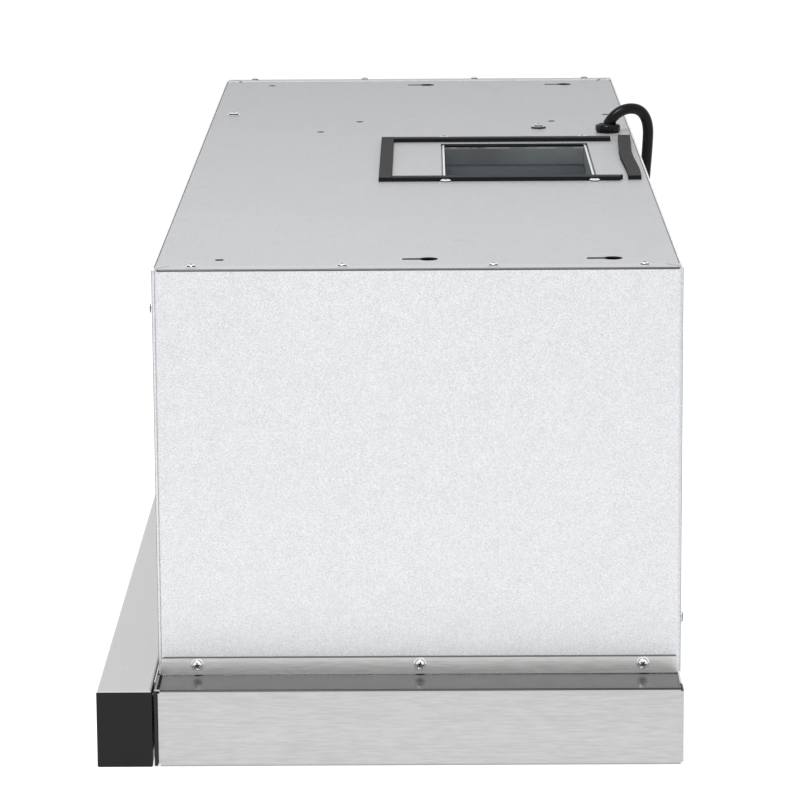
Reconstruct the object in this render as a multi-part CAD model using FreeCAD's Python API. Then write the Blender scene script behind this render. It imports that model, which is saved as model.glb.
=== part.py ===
import FreeCAD, Part
import math
import os

# Under-cabinet range hood with a pull-out visor, millimetres.
# X runs across the hood, Y from the front to the back and Z up.
# Pieces are laid out with Y = 0 in the middle of the side panels and Z = 0 at the canopy's lower
# edge. On export they shift along Y, so that the origin is the middle of the hood's footprint.

V = FreeCAD.Vector
X_AXIS = V(1, 0, 0)
Y_AXIS = V(0, 1, 0)
Z_AXIS = V(0, 0, 1)
ORIGIN = V(0, 0, 0)

# ---- driving dimensions ----
# body
body_width = 846.0          # over both side panels
body_depth = 288.0          # side panels, front to back
top_height = 272.0          # upper face of the top panel
sheet = 0.8                 # body and canopy sheet
bend = 0.8                  # inside radius of a fold
fit_gap = 0.2               # assembly gap between fixed pieces
run_gap = 0.35              # gap between pieces that move past each other
top_lap = 10.5              # side panel's fold over the top panel
side_flange = 12.0          # side panel's folds at the front and the back
panel_drop = 0.8            # front and back panels start this far below the side panels' tops
front_hem = 1.7             # hemmed edge of the front panel
hem_width = 8.0
back_sheet = 1.0
top_skirt = 14.0            # top panel's folds behind the front and back panels
corner_slit = 1.4           # slit at each corner of the top
tight_bend = 0.3            # inside radius of the top panel's folds

# canopy
canopy_ledge = 32.0         # canopy beyond the body at each end
canopy_height = 43.5
canopy_flange = 10.4        # canopy's fold up the side panel
flange_corner = 2.0         # round corners of that fold
canopy_rim = 14.0           # lower and rear inward folds
rear_rim = 11.0             # rear skirt's lower fold, behind the filters
wing_nose = 2.2             # ledge beyond the side panels' front
wing_front_gap = 0.8        # skirt's front edge beyond the side panels' front
wing_return = 7.0           # skirt's fold behind the bumper
bumper_thickness = 1.8
bar_gap = 1.0               # bumper to bar with the visor pushed in

# duct opening, its collar and gaskets
duct_x = 5.5                # centre of the duct opening
duct_inset = 31.8           # opening's rear edge to the side panels' back
duct_width = 151.0
duct_depth = 97.6
collar_gap = 1.3            # opening's edge to the collar
collar_sheet = 0.9
collar_drop_in = 0.9        # collar's rim below the top panel's face
collar_drop = 12.0          # collar down into the blower's outlet
blower_screw_side = 23.5    # screws beyond the opening's ends
blower_screw_inset = 2.25
gasket_width = 8.2
gasket_thickness = 2.7
gasket_right_gap = 14.3     # strips' centre lines beyond the opening's edges
gasket_left_gap = 12.5
gasket_front_gap = 35.6
gasket_inset = 15.8         # side strips' rear ends to the side panels' back
rear_gasket_inset = 9.5
rear_gasket_length = 187.0
rear_gasket_aside = 3.0     # its middle beside the opening's
rear_gasket_wave = [3.4, 1.5, 0.3, 1.2, 0.9]

# screws and holes in the top
keyhole_side = 34.0         # keyholes' centres to the side panels
keyhole_span_y = 102.2
keyhole_inset = 36.1        # rear keyholes' round parts to the side panels' back
keyhole_radius = 5.4
keyhole_slot = 4.8
keyhole_reach = 14.4        # slot's end to the round part's centre
spare_hole_radius = 2.6
front_hole_inset = 34.0     # front mounting holes to the side panels' front
# spare holes beside the wiring box: X, and distance to the side panels' back
spare_holes = [(-132.7, 211.3), (-183.6, 185.4), (-182.2, 52.0), (-216.0, 13.0)]
bracket_screw_x = -222.0
bracket_screw_inset = 13.0  # to the side panels' front

# screws: head radius, head height, shank radius, shank length
sheet_screw = (3.5, 1.9, 1.6, 7.0)
edge_screw = (3.3, 1.8, 1.6, 7.0)
machine_screw = (4.6, 2.3, 2.0, 8.0)
flange_screw_pitch = 124.0
edge_screw_pitch = 82.7
edge_screw_inset = 6.0
front_screw_drop = 21.6     # below the top panel
back_screw_rise = 30.5      # above the canopy

# power inlet
gland_aside = 54.0          # to the duct opening's left edge
gland_inset = 15.4          # to the side panels' back
gland_radius = 8.2
gland_height = 6.0
gland_stem = 6.2
gland_stem_length = 9.0
nut_radius = 9.6
nut_height = 4.0
cord_diameter = 7.4
ground_aside = 22.0         # ground screw beside the gland
ground_inset = 62.0         # to the side panels' back
wiring_box_aside = 16.0     # box's right end beyond the gland
wiring_box_length = 124.0
wiring_box_width = 117.0
wiring_box_inset = 3.0
wiring_box_depth = 52.0
lid_lap = 12.0
lid_tab = 14.0
lid_tab_inset = 30.0
terminal_length = 46.0
terminal_width = 20.0
terminal_height = 16.0
terminal_drop = 18.0
terminal_count = 3

# blower
wheel_share = 0.315         # wheel's radius as a share of the body's height above the canopy
axis_share = 0.501          # and its axis above the canopy
wheel_ahead = 3.5           # wheel's rear edge behind the duct opening's middle
wheel_side = 10.2           # wheel's ends to the cheeks
blade_count = 36
blade_depth = 13.0
blade_sheet = 0.9
blade_sweep = 9.0
wheel_ring = 4.0
wheel_ring_wall = 2.0
wheel_disc = 1.2
wheel_hub = 5.0             # hub's wall round the shaft
wheel_hub_length = 24.0
scroll_gap = 9.0            # wheel to scroll at the cutoff
inlet_inset = 14.0          # inlet's throat inside the wheel's edge
inlet_lip = 5.0
shaft_radius = 4.0
bearing_gap = 0.03
bearing_radius = 9.0
bearing_length = 9.0
bearing_seat = 1.5          # bearings' outer faces inside the bells'
bearing_boss = 3.0
motor_inset = 32.0          # motor's edge inside the wheel's
stator_length = 26.0
stator_slots = 4
stator_slot = 4.0
bell_length = 15.0
bell_wall = 4.0
bell_floor = 3.5
bell_round = 5.0
bell_vents = 8
bell_vent = 4.5
bell_vent_inset = 15.0
rotor_depth = 18.0          # rotor's edge inside the stator's
bracket_sheet = 2.0
bracket_arm = 14.0
bracket_arms = (90, 210, 330)
bracket_foot = 7.0          # its screws beyond the inlet's lip
bracket_hub_inset = 13.0
capacitor_length = 30.0
capacitor_width = 38.0
capacitor_thickness = 22.0
capacitor_inset = 24.0      # its middle to the collar's rear wall
capacitor_drop = 40.3       # and to the blower's flange
capacitor_pin = 7.0

# visor and slides
bar_depth = 30.5
bar_height = 43.4
bar_sheet = 0.8
bar_lift = 0.0              # bar above the canopy's lower edge
bar_lip = 8.0
cap_plate = 3.0
cap_plug = 10.0
visor_travel = 150.0
pan_side = 7.0              # canopy's ends to the underside panel's upturned sides
pan_height = 40.0
rail_height = 27.0
rail_depth = 11.0
rail_sheet = 1.0
rail_base = 8.0             # rails' lower edge
rail_short = 50.0           # rails shorter than the side panels
rail_inset = 3.0            # rails' front ends behind the skirt's front edge
visor_panel_height = 36.6   # upper face of the visor panel
visor_panel_side = 24.0     # its folds down beside the slides
slot_length = 34.0
slot_width = 6.0
slot_columns = 18
slot_rows = 7
slot_margin = 40.0          # slotted field's ends to the panel's sides
slot_pitch_y = 22.0
slot_field_ahead = 8.3      # field's middle ahead of the panel's

# controls
control_inset = 193.0       # middle of the buttons to the canopy's right end
button_pitch = 26.0
button_width = 15.0
button_height = 9.0
button_proud = 2.0
button_travel = 1.6
control_depth = 18.0
control_height = 26.0
board_sheet = 1.6
BUTTON_NAMES = ["stop_button", "low_button", "medium_button", "high_button", "light_button"]

# filters and lamps
filter_strip = 16.0         # strip between the filters
filter_side = 24.0          # opening's outer end to the underside panel's side
filter_front_inset = 70.0   # to the side panels' front
filter_back_inset = 11.0    # and to their back
filter_gap = 0.5
filter_thickness = 9.0
filter_border = 12.0
filter_latch_border = 24.0
filter_wall = 1.0           # the frame's folded channel
mesh_sheet = 0.5
mesh_pitch = 12.0           # one wave of the corrugated mesh
mesh_lap = 8.0              # mesh's edge inside the frame's channel
tab_width = 30.0
tab_reach = 7.0
latch_width = 40.0
latch_depth = 13.0
latch_travel = 4.0
latch_nose_width = 12.0
latch_nose = 3.0
latch_ear = 3.0             # latch's ears over the edges of its window
latch_inset = 2.5           # latch's window to the frame's front
latch_sheet = 1.5
lamp_inset_x = 148.0        # to the underside panel's side
lamp_inset_y = 35.0         # to the side panels' front
lamp_radius = 24.0
lamp_lens_radius = 19.5
lamp_height = 15.0

# power cord
coil_radius = 40.5
coil_turns = 2.25
coil_aside = 69.0           # coil's centre beyond the canopy's end
coil_inset = 36.0           # and to the side panels' back
plug_length = 32.0
plug_width = 26.0
plug_height = 20.0
plug_round = 4.0
plug_neck = 18.0
blade_spread = 6.35
blade_reach = 16.0
blade_rise = 8.0
blade_height = 6.4
blade_thickness = 1.5
earth_radius = 2.4
earth_reach = 19.0
earth_rise = 4.0

# ---- positions that follow ----
half_width = body_width / 2
half_depth = body_depth / 2
half_canopy = half_width + canopy_ledge
lap_top = top_height + sheet
fold = bend + sheet
back_face = half_depth + back_sheet
front_face = -half_depth - front_hem
wing_front = -half_depth - wing_front_gap
bumper_front = wing_front - bumper_thickness
bar_rear = bumper_front - bar_gap
bar_front = bar_rear - bar_depth
bar_top = bar_lift + bar_height
half_pan = half_canopy - pan_side
pan_floor = sheet
duct_y = half_depth - duct_inset - duct_depth / 2
keyhole_span_x = body_width - 2 * keyhole_side
keyhole_y = half_depth - keyhole_inset - keyhole_span_y / 2
gland_x = duct_x - duct_width / 2 - gland_aside
gland_y = half_depth - gland_inset
ground_x = gland_x - ground_aside
ground_y = half_depth - ground_inset
wiring_box_right = gland_x + wiring_box_aside
wiring_box_left = wiring_box_right - wiring_box_length
wiring_box_back = half_depth - wiring_box_inset
wiring_box_front = wiring_box_back - wiring_box_width
collar_half_x = duct_width / 2 - collar_gap
collar_half_y = duct_depth / 2 - collar_gap
top_under = top_height - sheet
flange_under = top_under - collar_sheet
body_rise = top_height - canopy_height
wheel_radius = body_rise * wheel_share
wheel_axis_z = canopy_height + body_rise * axis_share
wheel_axis_y = duct_y + wheel_ahead - wheel_radius
wheel_width = 2 * (collar_half_x - wheel_side)
inlet_radius = wheel_radius - inlet_inset
motor_radius = wheel_radius - motor_inset
rotor_radius = motor_radius - rotor_depth
control_x = half_canopy - control_inset
button_count = len(BUTTON_NAMES)
rail_length = body_depth - rail_short
filter_opening_x = half_pan - filter_side - filter_strip / 2
filter_front = -half_depth + filter_front_inset
filter_back = half_depth - filter_back_inset
lamp_x = half_pan - lamp_inset_x
lamp_y = -half_depth + lamp_inset_y
cord_radius = cord_diameter / 2
floor_line = cord_radius + 0.1


# ---- shape helpers ----
def block(x0, x1, y0, y1, z0, z1):
    return Part.makeBox(x1 - x0, y1 - y0, z1 - z0, V(x0, y0, z0))


def rod(radius, start, direction, length):
    return Part.makeCylinder(radius, length, start, direction)


def tube(outer, inner, start, direction, length):
    return rod(outer, start, direction, length).cut(rod(inner, start, direction, length))


def mirror_x(shape):
    return shape.mirror(ORIGIN, X_AXIS)


def group(shapes):
    return Part.makeCompound([solid for shape in shapes for solid in shape.Solids])


def fuse_all(first, *others):
    return first.multiFuse(list(others)).removeSplitter()


def cut_all(shape, tools):
    return shape.cut(Part.makeCompound(tools))


def round_edges(shape, radius, direction, keep=lambda point: True):
    """Fillet the straight edges that run along direction and pass the test keep."""
    chosen = []
    for edge in shape.Edges:
        if not isinstance(edge.Curve, Part.Line):
            continue
        along = edge.tangentAt(edge.FirstParameter)
        if abs(abs(along.dot(direction)) - 1) < 1e-6 and keep(edge.CenterOfMass):
            chosen.append(edge)
    return shape.makeFillet(radius, chosen)


def offset_path(points, distance):
    """The same open path, moved to the left of its walking direction."""
    moved = []
    for index, point in enumerate(points):
        before = points[max(index - 1, 0)]
        after = points[min(index + 1, len(points) - 1)]
        turns = []
        for start, end in ((before, point), (point, after)):
            run = math.hypot(end[0] - start[0], end[1] - start[1])
            if run > 0:
                turns.append(((end[0] - start[0]) / run, (end[1] - start[1]) / run))
        first, last = turns[0], turns[-1]
        bisector = (-first[1] - last[1], first[0] + last[0])
        scale = distance * 2 / (bisector[0] ** 2 + bisector[1] ** 2)
        moved.append((point[0] + bisector[0] * scale, point[1] + bisector[1] * scale))
    return moved


def path_edges(points, radii, place):
    """Straight runs joined by tangent arcs, one radius for each inner point."""
    edges = []
    last = points[0]
    for index in range(1, len(points) - 1):
        corner = points[index]
        ways = []
        for other in (points[index - 1], points[index + 1]):
            run = math.hypot(other[0] - corner[0], other[1] - corner[1])
            ways.append(((other[0] - corner[0]) / run, (other[1] - corner[1]) / run))
        cosine = ways[0][0] * ways[1][0] + ways[0][1] * ways[1][1]
        half_opening = math.acos(max(-1.0, min(1.0, cosine))) / 2
        radius = radii[index - 1]
        reach = radius / math.tan(half_opening)
        start = (corner[0] + ways[0][0] * reach, corner[1] + ways[0][1] * reach)
        end = (corner[0] + ways[1][0] * reach, corner[1] + ways[1][1] * reach)
        bisector = (ways[0][0] + ways[1][0], ways[0][1] + ways[1][1])
        size = math.hypot(bisector[0], bisector[1])
        depth = radius / math.sin(half_opening) - radius
        middle = (corner[0] + bisector[0] / size * depth, corner[1] + bisector[1] / size * depth)
        edges.append(Part.LineSegment(place(last), place(start)).toShape())
        edges.append(Part.Arc(place(start), place(middle), place(end)).toShape())
        last = end
    edges.append(Part.LineSegment(place(last), place(points[-1])).toShape())
    return edges


PLANES = {
    "xz": lambda level: (lambda p: V(p[0], level, p[1])),
    "yz": lambda level: (lambda p: V(level, p[0], p[1])),
    "xy": lambda level: (lambda p: V(p[0], p[1], level)),
}
NORMALS = {"xz": Y_AXIS, "yz": X_AXIS, "xy": Z_AXIS}


def folded(points, thickness, plane, start, end, inner=bend):
    """Sheet folded along an open path of outer corners. A positive thickness lies to its left."""
    place = PLANES[plane](start)
    inside = offset_path(points, thickness)
    outer_radii, inner_radii = [], []
    for index in range(1, len(points) - 1):
        a, b, c = points[index - 1], points[index], points[index + 1]
        left_turn = (b[0] - a[0]) * (c[1] - b[1]) - (b[1] - a[1]) * (c[0] - b[0]) > 0
        sheet_is_inside = left_turn == (thickness > 0)
        outer_radii.append(inner + abs(thickness) if sheet_is_inside else inner)
        inner_radii.append(inner if sheet_is_inside else inner + abs(thickness))
    edges = path_edges(points, outer_radii, place)
    edges += path_edges(inside, inner_radii, place)
    edges.append(Part.LineSegment(place(points[0]), place(inside[0])).toShape())
    edges.append(Part.LineSegment(place(points[-1]), place(inside[-1])).toShape())
    face = Part.Face(Part.Wire(Part.__sortEdges__(edges)))
    return face.extrude(NORMALS[plane] * (end - start))


def prism(points, plane, start, end):
    place = PLANES[plane](start)
    corners = [place(point) for point in points]
    return Part.Face(Part.makePolygon(corners + corners[:1])).extrude(NORMALS[plane] * (end - start))


def screw(sizes):
    """Cross-recess screw at the origin, head up, seated on Z = 0."""
    head_radius, head_height, shank_radius, shank_length = sizes
    head = rod(head_radius, ORIGIN, Z_AXIS, head_height)
    crown = [edge for edge in head.Edges if abs(edge.CenterOfMass.z - head_height) < 1e-6]
    head = head.makeFillet(head_height * 0.6, crown)
    shank = rod(shank_radius, V(0, 0, -shank_length), Z_AXIS, shank_length)
    recess_length = head_radius * 1.0
    recess_width = head_radius * 0.26
    recess_depth = head_height * 0.7
    bars = []
    for long_x, long_y in ((recess_length, recess_width), (recess_width, recess_length)):
        bars.append(block(-long_x / 2, long_x / 2, -long_y / 2, long_y / 2,
                          head_height - recess_depth, head_height + 1))
    return cut_all(head.fuse(shank), bars)


def placed(shape, point, direction):
    turned = shape.copy()
    turned.Placement = FreeCAD.Placement(point, FreeCAD.Rotation(Z_AXIS, direction))
    return turned


def screw_holes(places, sizes, depth=20.0):
    """Drills for screws at (point, direction), through whatever lies under their heads."""
    radius = sizes[2] + 0.05
    return [rod(radius, point + direction * 0.01, direction * -1, depth) for point, direction in places]


# ---- where the screws sit ----
def side_flange_places():
    places = []
    for side in (1, -1):
        for step in (-1, 0, 1):
            point = V(side * (half_width + sheet), step * flange_screw_pitch,
                      canopy_height + canopy_flange * 0.58)
            places.append((point, X_AXIS * side))
    return places


def top_edge_places():
    places = []
    for side in (1, -1):
        for step in (-1.5, -0.5, 0.5, 1.5):
            point = V(side * (half_width - edge_screw_inset), step * edge_screw_pitch, lap_top)
            places.append((point, Z_AXIS))
    return places


def front_panel_places():
    return [(V(side * (half_width - edge_screw_inset), front_face,
               top_height - front_screw_drop), Y_AXIS * -1)
            for side in (1, -1)]


def back_panel_places():
    return [(V(side * (half_width - edge_screw_inset), back_face,
               canopy_height + back_screw_rise), Y_AXIS)
            for side in (1, -1)]


def blower_places():
    reach_x = duct_width / 2 + blower_screw_side
    reach_y = duct_depth / 2 - blower_screw_inset
    return [(V(duct_x + side * reach_x, duct_y + end * reach_y, top_height), Z_AXIS)
            for side in (1, -1) for end in (1, -1)]


def bracket_place():
    return [(V(bracket_screw_x, -half_depth + bracket_screw_inset, top_height), Z_AXIS)]


def small_hole_places():
    front_pair = [(side * keyhole_span_x / 2, -half_depth + front_hole_inset) for side in (1, -1)]
    return front_pair + [(x, half_depth - inset) for x, inset in spare_holes]


# ---- body ----
def corner_slits(side):
    """Cutters for the slits across the top's two corners on one side."""
    slits = []
    for end in (1, -1):
        slit = block(-top_lap * 0.62, top_lap * 0.75, -corner_slit / 2, corner_slit / 2,
                     top_under - 1, lap_top + 1)
        slit.rotate(ORIGIN, Z_AXIS, 90 - side * (90 - end * 45) + 180)
        slit.translate(V(side * (half_width - fold - top_lap / 2),
                         end * (half_depth - fold - top_lap / 2 + corner_slit), 0))
        slits.append(slit)
    return slits


def make_side_panel():
    base = canopy_height
    upright = folded([(half_width - side_flange, -half_depth), (half_width, -half_depth),
                      (half_width, half_depth), (half_width - side_flange, half_depth)],
                     sheet, "xy", base, lap_top - fold)
    lap = folded([(half_width, lap_top - fold * 3), (half_width, lap_top),
                  (half_width - top_lap, lap_top)],
                 sheet, "xz", -half_depth, half_depth)
    outline = block(half_width - top_lap - 1, half_width, -half_depth, half_depth, base, lap_top)
    outline = round_edges(outline, fold, Z_AXIS, lambda point: point.x > half_width - 0.01)
    panel = upright.fuse(lap.common(outline))
    panel = panel.cut(block(half_width - top_lap - 1, half_width - fold, -half_depth, half_depth,
                            lap_top - fold, top_height))
    panel = cut_all(panel, corner_slits(1))
    drills = screw_holes(side_flange_places() + front_panel_places() + back_panel_places(), sheet_screw)
    drills += screw_holes(top_edge_places(), edge_screw)
    return cut_all(panel, drills).removeSplitter()


def keyhole_cutters():
    cutters = []
    for side in (1, -1):
        for end in (1, -1):
            x = side * keyhole_span_x / 2
            y = keyhole_y + end * keyhole_span_y / 2
            low = top_under - 1
            cutters.append(rod(keyhole_radius, V(x, y, low), Z_AXIS, sheet + 2))
            slot = block(x - keyhole_slot / 2, x + keyhole_slot / 2, y - keyhole_reach, y,
                         low, top_height + 1)
            cutters.append(slot)
    return cutters


def make_top_panel():
    front_reach = -front_face - sheet - fit_gap
    rear_reach = half_depth - fit_gap
    tight_fold = tight_bend + sheet
    side = half_width - fold
    panel = folded([(-front_reach, top_under - top_skirt), (-front_reach, top_height),
                    (rear_reach, top_height), (rear_reach, top_under - top_skirt)],
                   -sheet, "yz", -side, side, tight_bend)
    notch = half_width - side_flange - fit_gap
    skirt_ends = []
    for side in (1, -1):
        x0, x1 = sorted((side * notch, side * half_width))
        for y0, y1 in ((-front_reach - 1, -front_reach + tight_fold),
                       (rear_reach - tight_fold, rear_reach + 1)):
            skirt_ends.append(block(x0, x1, y0, y1, top_under - top_skirt - 1, top_height + 1))
    slits = corner_slits(1) + corner_slits(-1)
    opening = block(duct_x - duct_width / 2, duct_x + duct_width / 2,
                    duct_y - duct_depth / 2, duct_y + duct_depth / 2,
                    top_under - 1, top_height + 1)
    drills = [rod(spare_hole_radius, V(x, y, top_under - 1), Z_AXIS, sheet + 2)
              for x, y in small_hole_places()]
    drills += keyhole_cutters()
    drills += screw_holes(top_edge_places(), edge_screw)
    drills += screw_holes(blower_places() + bracket_place(), machine_screw)
    drills.append(rod(gland_stem + fit_gap, V(gland_x, gland_y, top_under - 1), Z_AXIS, sheet + 2))
    drills.append(rod(machine_screw[2] + 0.05, V(ground_x, ground_y, top_under - 1), Z_AXIS, sheet + 2))
    return cut_all(panel, skirt_ends + slits + [opening] + drills)


def make_front_panel():
    edge = half_width - 1
    low = canopy_height + fit_gap
    high = lap_top - panel_drop
    plate = block(-edge, edge, front_face, front_face + sheet, low, high)
    hems = []
    for side in (1, -1):
        x0, x1 = sorted((side * edge, side * (edge - hem_width)))
        hems.append(block(x0, x1, front_face, front_face + front_hem, low, high))
    panel = fuse_all(plate, *hems)
    panel = round_edges(panel, sheet * 0.8, Z_AXIS,
                        lambda point: abs(abs(point.x) - edge) < 0.01)
    return cut_all(panel, screw_holes(front_panel_places(), sheet_screw))


def make_back_panel():
    edge = half_width - 2
    low = canopy_height + fit_gap
    high = lap_top - panel_drop
    panel = block(-edge, edge, half_depth, back_face, low, high)
    return cut_all(panel, screw_holes(back_panel_places(), sheet_screw))


def make_canopy_wing():
    skirt = folded([(half_canopy - wing_return, wing_front), (half_canopy, wing_front),
                    (half_canopy, back_face), (half_canopy - canopy_rim, back_face)],
                   sheet, "xy", fold, canopy_height - fold)
    shell = folded([(half_canopy - canopy_rim, 0), (half_canopy, 0),
                    (half_canopy, canopy_height), (half_canopy - fold * 3, canopy_height)],
                   sheet, "xz", wing_front + fold, back_face - fold)
    ledge = folded([(half_canopy - fold, canopy_height), (half_width + sheet, canopy_height),
                    (half_width + sheet, canopy_height + canopy_flange)],
                   sheet, "xz", -half_depth - wing_nose, back_face - fold)
    flange_top = canopy_height + canopy_flange
    ledge = ledge.cut(block(half_width, half_width + fold + 0.1, -half_depth - wing_nose - 1, -half_depth,
                            canopy_height, flange_top + 1))
    ledge = round_edges(ledge, flange_corner, X_AXIS,
                        lambda point: abs(point.z - flange_top) < 0.01)
    wing = fuse_all(skirt, shell, ledge)
    return cut_all(wing, screw_holes(side_flange_places(), sheet_screw))


def make_rear_skirt():
    edge = half_canopy - canopy_rim - fit_gap
    high = canopy_height - sheet
    return folded([(back_face - rear_rim, 0), (back_face, 0),
                   (back_face, high), (back_face - canopy_rim * 0.6, high)],
                  sheet, "yz", -edge, edge)


def filter_openings():
    low = pan_floor - 1
    high = pan_floor + sheet + 1
    inner = filter_strip / 2
    outer = inner + filter_opening_x
    return [block(inner, outer, filter_front, filter_back, low, high),
            block(-outer, -inner, filter_front, filter_back, low, high)]


def make_underside_panel():
    floor_top = pan_floor + sheet
    front = wing_front + sheet + fit_gap
    back = back_face - fold - fit_gap
    pan = folded([(-half_pan, pan_height), (-half_pan, pan_floor),
                  (half_pan, pan_floor), (half_pan, pan_height)],
                 sheet, "xz", front, back)
    lips = []
    for side in (1, -1):
        x0, x1 = sorted((side * filter_strip / 2, side * (filter_strip / 2 + filter_opening_x)))
        lips.append(block(x0, x1, filter_front - sheet, filter_front,
                          pan_floor, pan_floor + filter_thickness + 1))
    front_lip = block(-half_pan + fold, half_pan - fold, front, front + sheet,
                      pan_floor, pan_floor + 6)
    pan = fuse_all(pan, front_lip, *lips)
    drills = filter_openings()
    for side in (1, -1):
        drills.append(rod(lamp_radius - 2 + fit_gap, V(side * lamp_x, lamp_y, pan_floor - 1),
                          Z_AXIS, sheet + 2))
    return cut_all(pan, drills)


def make_bumpers():
    strip = block(half_canopy - wing_return + 0.5, half_canopy - 0.5, bumper_front, wing_front,
                  0.3, canopy_height - sheet - fit_gap)
    strip = round_edges(strip, bumper_thickness * 0.35, Z_AXIS,
                        lambda point: point.y < bumper_front + 0.01)
    return group([strip, mirror_x(strip)])


# ---- duct collar and blower ----
scroll_half_x = collar_half_x
scroll_inner_y0 = duct_y - collar_half_y
scroll_inner_y1 = duct_y + collar_half_y
scroll_start_radius = wheel_radius + scroll_gap
scroll_end_radius = scroll_inner_y1 - wheel_axis_y


def scroll_radius(angle, start):
    grown = (angle - start) / (2 * math.pi - start)
    return scroll_start_radius + (scroll_end_radius - scroll_start_radius) * grown


def scroll_outline(offset):
    """Closed outline of the scroll in the YZ plane, offset outwards."""
    front = scroll_inner_y0 - offset
    start = math.acos((front - wheel_axis_y) / (scroll_start_radius + offset))

    def at(angle):
        radius = scroll_radius(angle, start) + offset
        return (wheel_axis_y + radius * math.cos(angle), wheel_axis_z + radius * math.sin(angle))

    steps = 6
    angles = [start + (2 * math.pi - start) * index / (2 * steps) for index in range(2 * steps + 1)]
    place = PLANES["yz"](0)
    edges = []
    for index in range(steps):
        first, middle, last = (place(at(angle)) for angle in angles[2 * index:2 * index + 3])
        edges.append(Part.Arc(first, middle, last).toShape())
    bottom_rear = at(angles[-1])
    tongue = at(angles[0])
    corners = [bottom_rear, (bottom_rear[0], flange_under), (front, flange_under), tongue]
    for start_point, end_point in zip(corners, corners[1:]):
        edges.append(Part.LineSegment(place(start_point), place(end_point)).toShape())
    return Part.Face(Part.Wire(Part.__sortEdges__(edges)))


def make_scroll_wrap():
    band = scroll_outline(sheet).cut(scroll_outline(0))
    wrap = band.extrude(X_AXIS * (2 * scroll_half_x))
    wrap.translate(X_AXIS * (duct_x - scroll_half_x))
    return wrap


def make_cheek(side):
    """Flat side of the scroll with its flared inlet. side is 1 for the right one."""
    plate = scroll_outline(sheet).extrude(X_AXIS * sheet)
    plate.translate(X_AXIS * (duct_x + scroll_half_x))
    centre = V(duct_x + scroll_half_x, wheel_axis_y, wheel_axis_z)
    plate = plate.cut(rod(inlet_radius + inlet_lip, centre - X_AXIS, X_AXIS, sheet + 2))
    lip_centre = V(centre.x - inlet_lip + sheet, wheel_axis_y + inlet_radius + inlet_lip, wheel_axis_z)
    outer = Part.Face(Part.Wire(Part.makeCircle(inlet_lip, lip_centre, Z_AXIS)))
    inner = Part.Face(Part.Wire(Part.makeCircle(inlet_lip - sheet, lip_centre, Z_AXIS)))
    quarter = Part.makePlane(inlet_lip, inlet_lip, V(lip_centre.x, lip_centre.y, lip_centre.z),
                             Z_AXIS, X_AXIS)
    quarter.translate(V(0, -inlet_lip, 0))
    lip = outer.cut(inner).common(quarter)
    lip = lip.revolve(V(lip_centre.x, wheel_axis_y, wheel_axis_z), X_AXIS, 360)
    cheek = plate.fuse(lip)
    if side < 0:
        cheek = cheek.mirror(V(duct_x, 0, 0), X_AXIS)
    if side > 0:
        holes = [rod(machine_screw[2] + 0.05, V(duct_x + scroll_half_x - 1, y, z), X_AXIS, sheet + 2)
                 for y, z in bracket_feet()]
        cheek = cut_all(cheek, holes)
    return cheek.removeSplitter()


def make_outlet_collar():
    half_span_x = duct_width / 2 + blower_screw_side + 7
    half_span_y = duct_depth / 2 - blower_screw_inset + 7
    flange = block(duct_x - half_span_x, duct_x + half_span_x,
                   duct_y - half_span_y, duct_y + half_span_y, flange_under, top_under)
    top = top_height - collar_drop_in
    outer = block(duct_x - collar_half_x, duct_x + collar_half_x,
                  duct_y - collar_half_y, duct_y + collar_half_y, flange_under - collar_drop, top)
    outer = round_edges(outer, 2.5, Z_AXIS)
    inner = block(duct_x - collar_half_x + collar_sheet, duct_x + collar_half_x - collar_sheet,
                  duct_y - collar_half_y + collar_sheet, duct_y + collar_half_y - collar_sheet,
                  flange_under - collar_drop - 1, top + 1)
    inner = round_edges(inner, 2.5 - collar_sheet, Z_AXIS)
    collar = flange.fuse(outer).cut(inner)
    return cut_all(collar, screw_holes(blower_places(), machine_screw)).removeSplitter()


def make_wheel():
    half = wheel_width / 2
    centre = V(duct_x, wheel_axis_y, wheel_axis_z)
    parts = []
    for side in (1, -1):
        start = centre + X_AXIS * (half - wheel_ring if side > 0 else -half)
        parts.append(tube(wheel_radius, wheel_radius - wheel_ring_wall, start, X_AXIS, wheel_ring))
    blade_outer = wheel_radius - wheel_ring_wall / 2
    blade_inner = blade_outer - blade_depth
    disc = tube(blade_outer, shaft_radius, centre - X_AXIS * (wheel_disc / 2), X_AXIS, wheel_disc)
    hub = tube(shaft_radius + wheel_hub, shaft_radius, centre - X_AXIS * (wheel_hub_length / 2),
               X_AXIS, wheel_hub_length)
    sweep = math.radians(blade_sweep)
    lean = blade_sheet / blade_inner
    place = PLANES["yz"](duct_x - half + 0.5)
    blades = []
    for index in range(blade_count):
        turn = 2 * math.pi * index / blade_count

        def at(radius, angle):
            return (wheel_axis_y + radius * math.cos(turn + angle),
                    wheel_axis_z + radius * math.sin(turn + angle))

        near = [at(blade_inner, 0), at((blade_inner + blade_outer) / 2, sweep * 0.25),
                at(blade_outer, sweep)]
        far = [at(blade_inner, lean), at((blade_inner + blade_outer) / 2, sweep * 0.25 + lean),
               at(blade_outer, sweep + lean)]
        edges = [Part.Arc(*[place(point) for point in near]).toShape(),
                 Part.Arc(*[place(point) for point in far]).toShape(),
                 Part.LineSegment(place(near[0]), place(far[0])).toShape(),
                 Part.LineSegment(place(near[2]), place(far[2])).toShape()]
        face = Part.Face(Part.Wire(Part.__sortEdges__(edges)))
        blades.append(face.extrude(X_AXIS * (wheel_width - 1.0)))
    return fuse_all(parts[0], parts[1], disc, hub, *blades)


# The motor sits inside the wheel's right half and hangs on the bracket outside the right cheek.
motor_outer_x = duct_x + scroll_half_x + sheet
stator_x0 = motor_outer_x - bell_length - stator_length
bell_inner_x0 = stator_x0 - bell_length
shaft_end_x = duct_x - wheel_hub_length / 2 - 2


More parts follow.
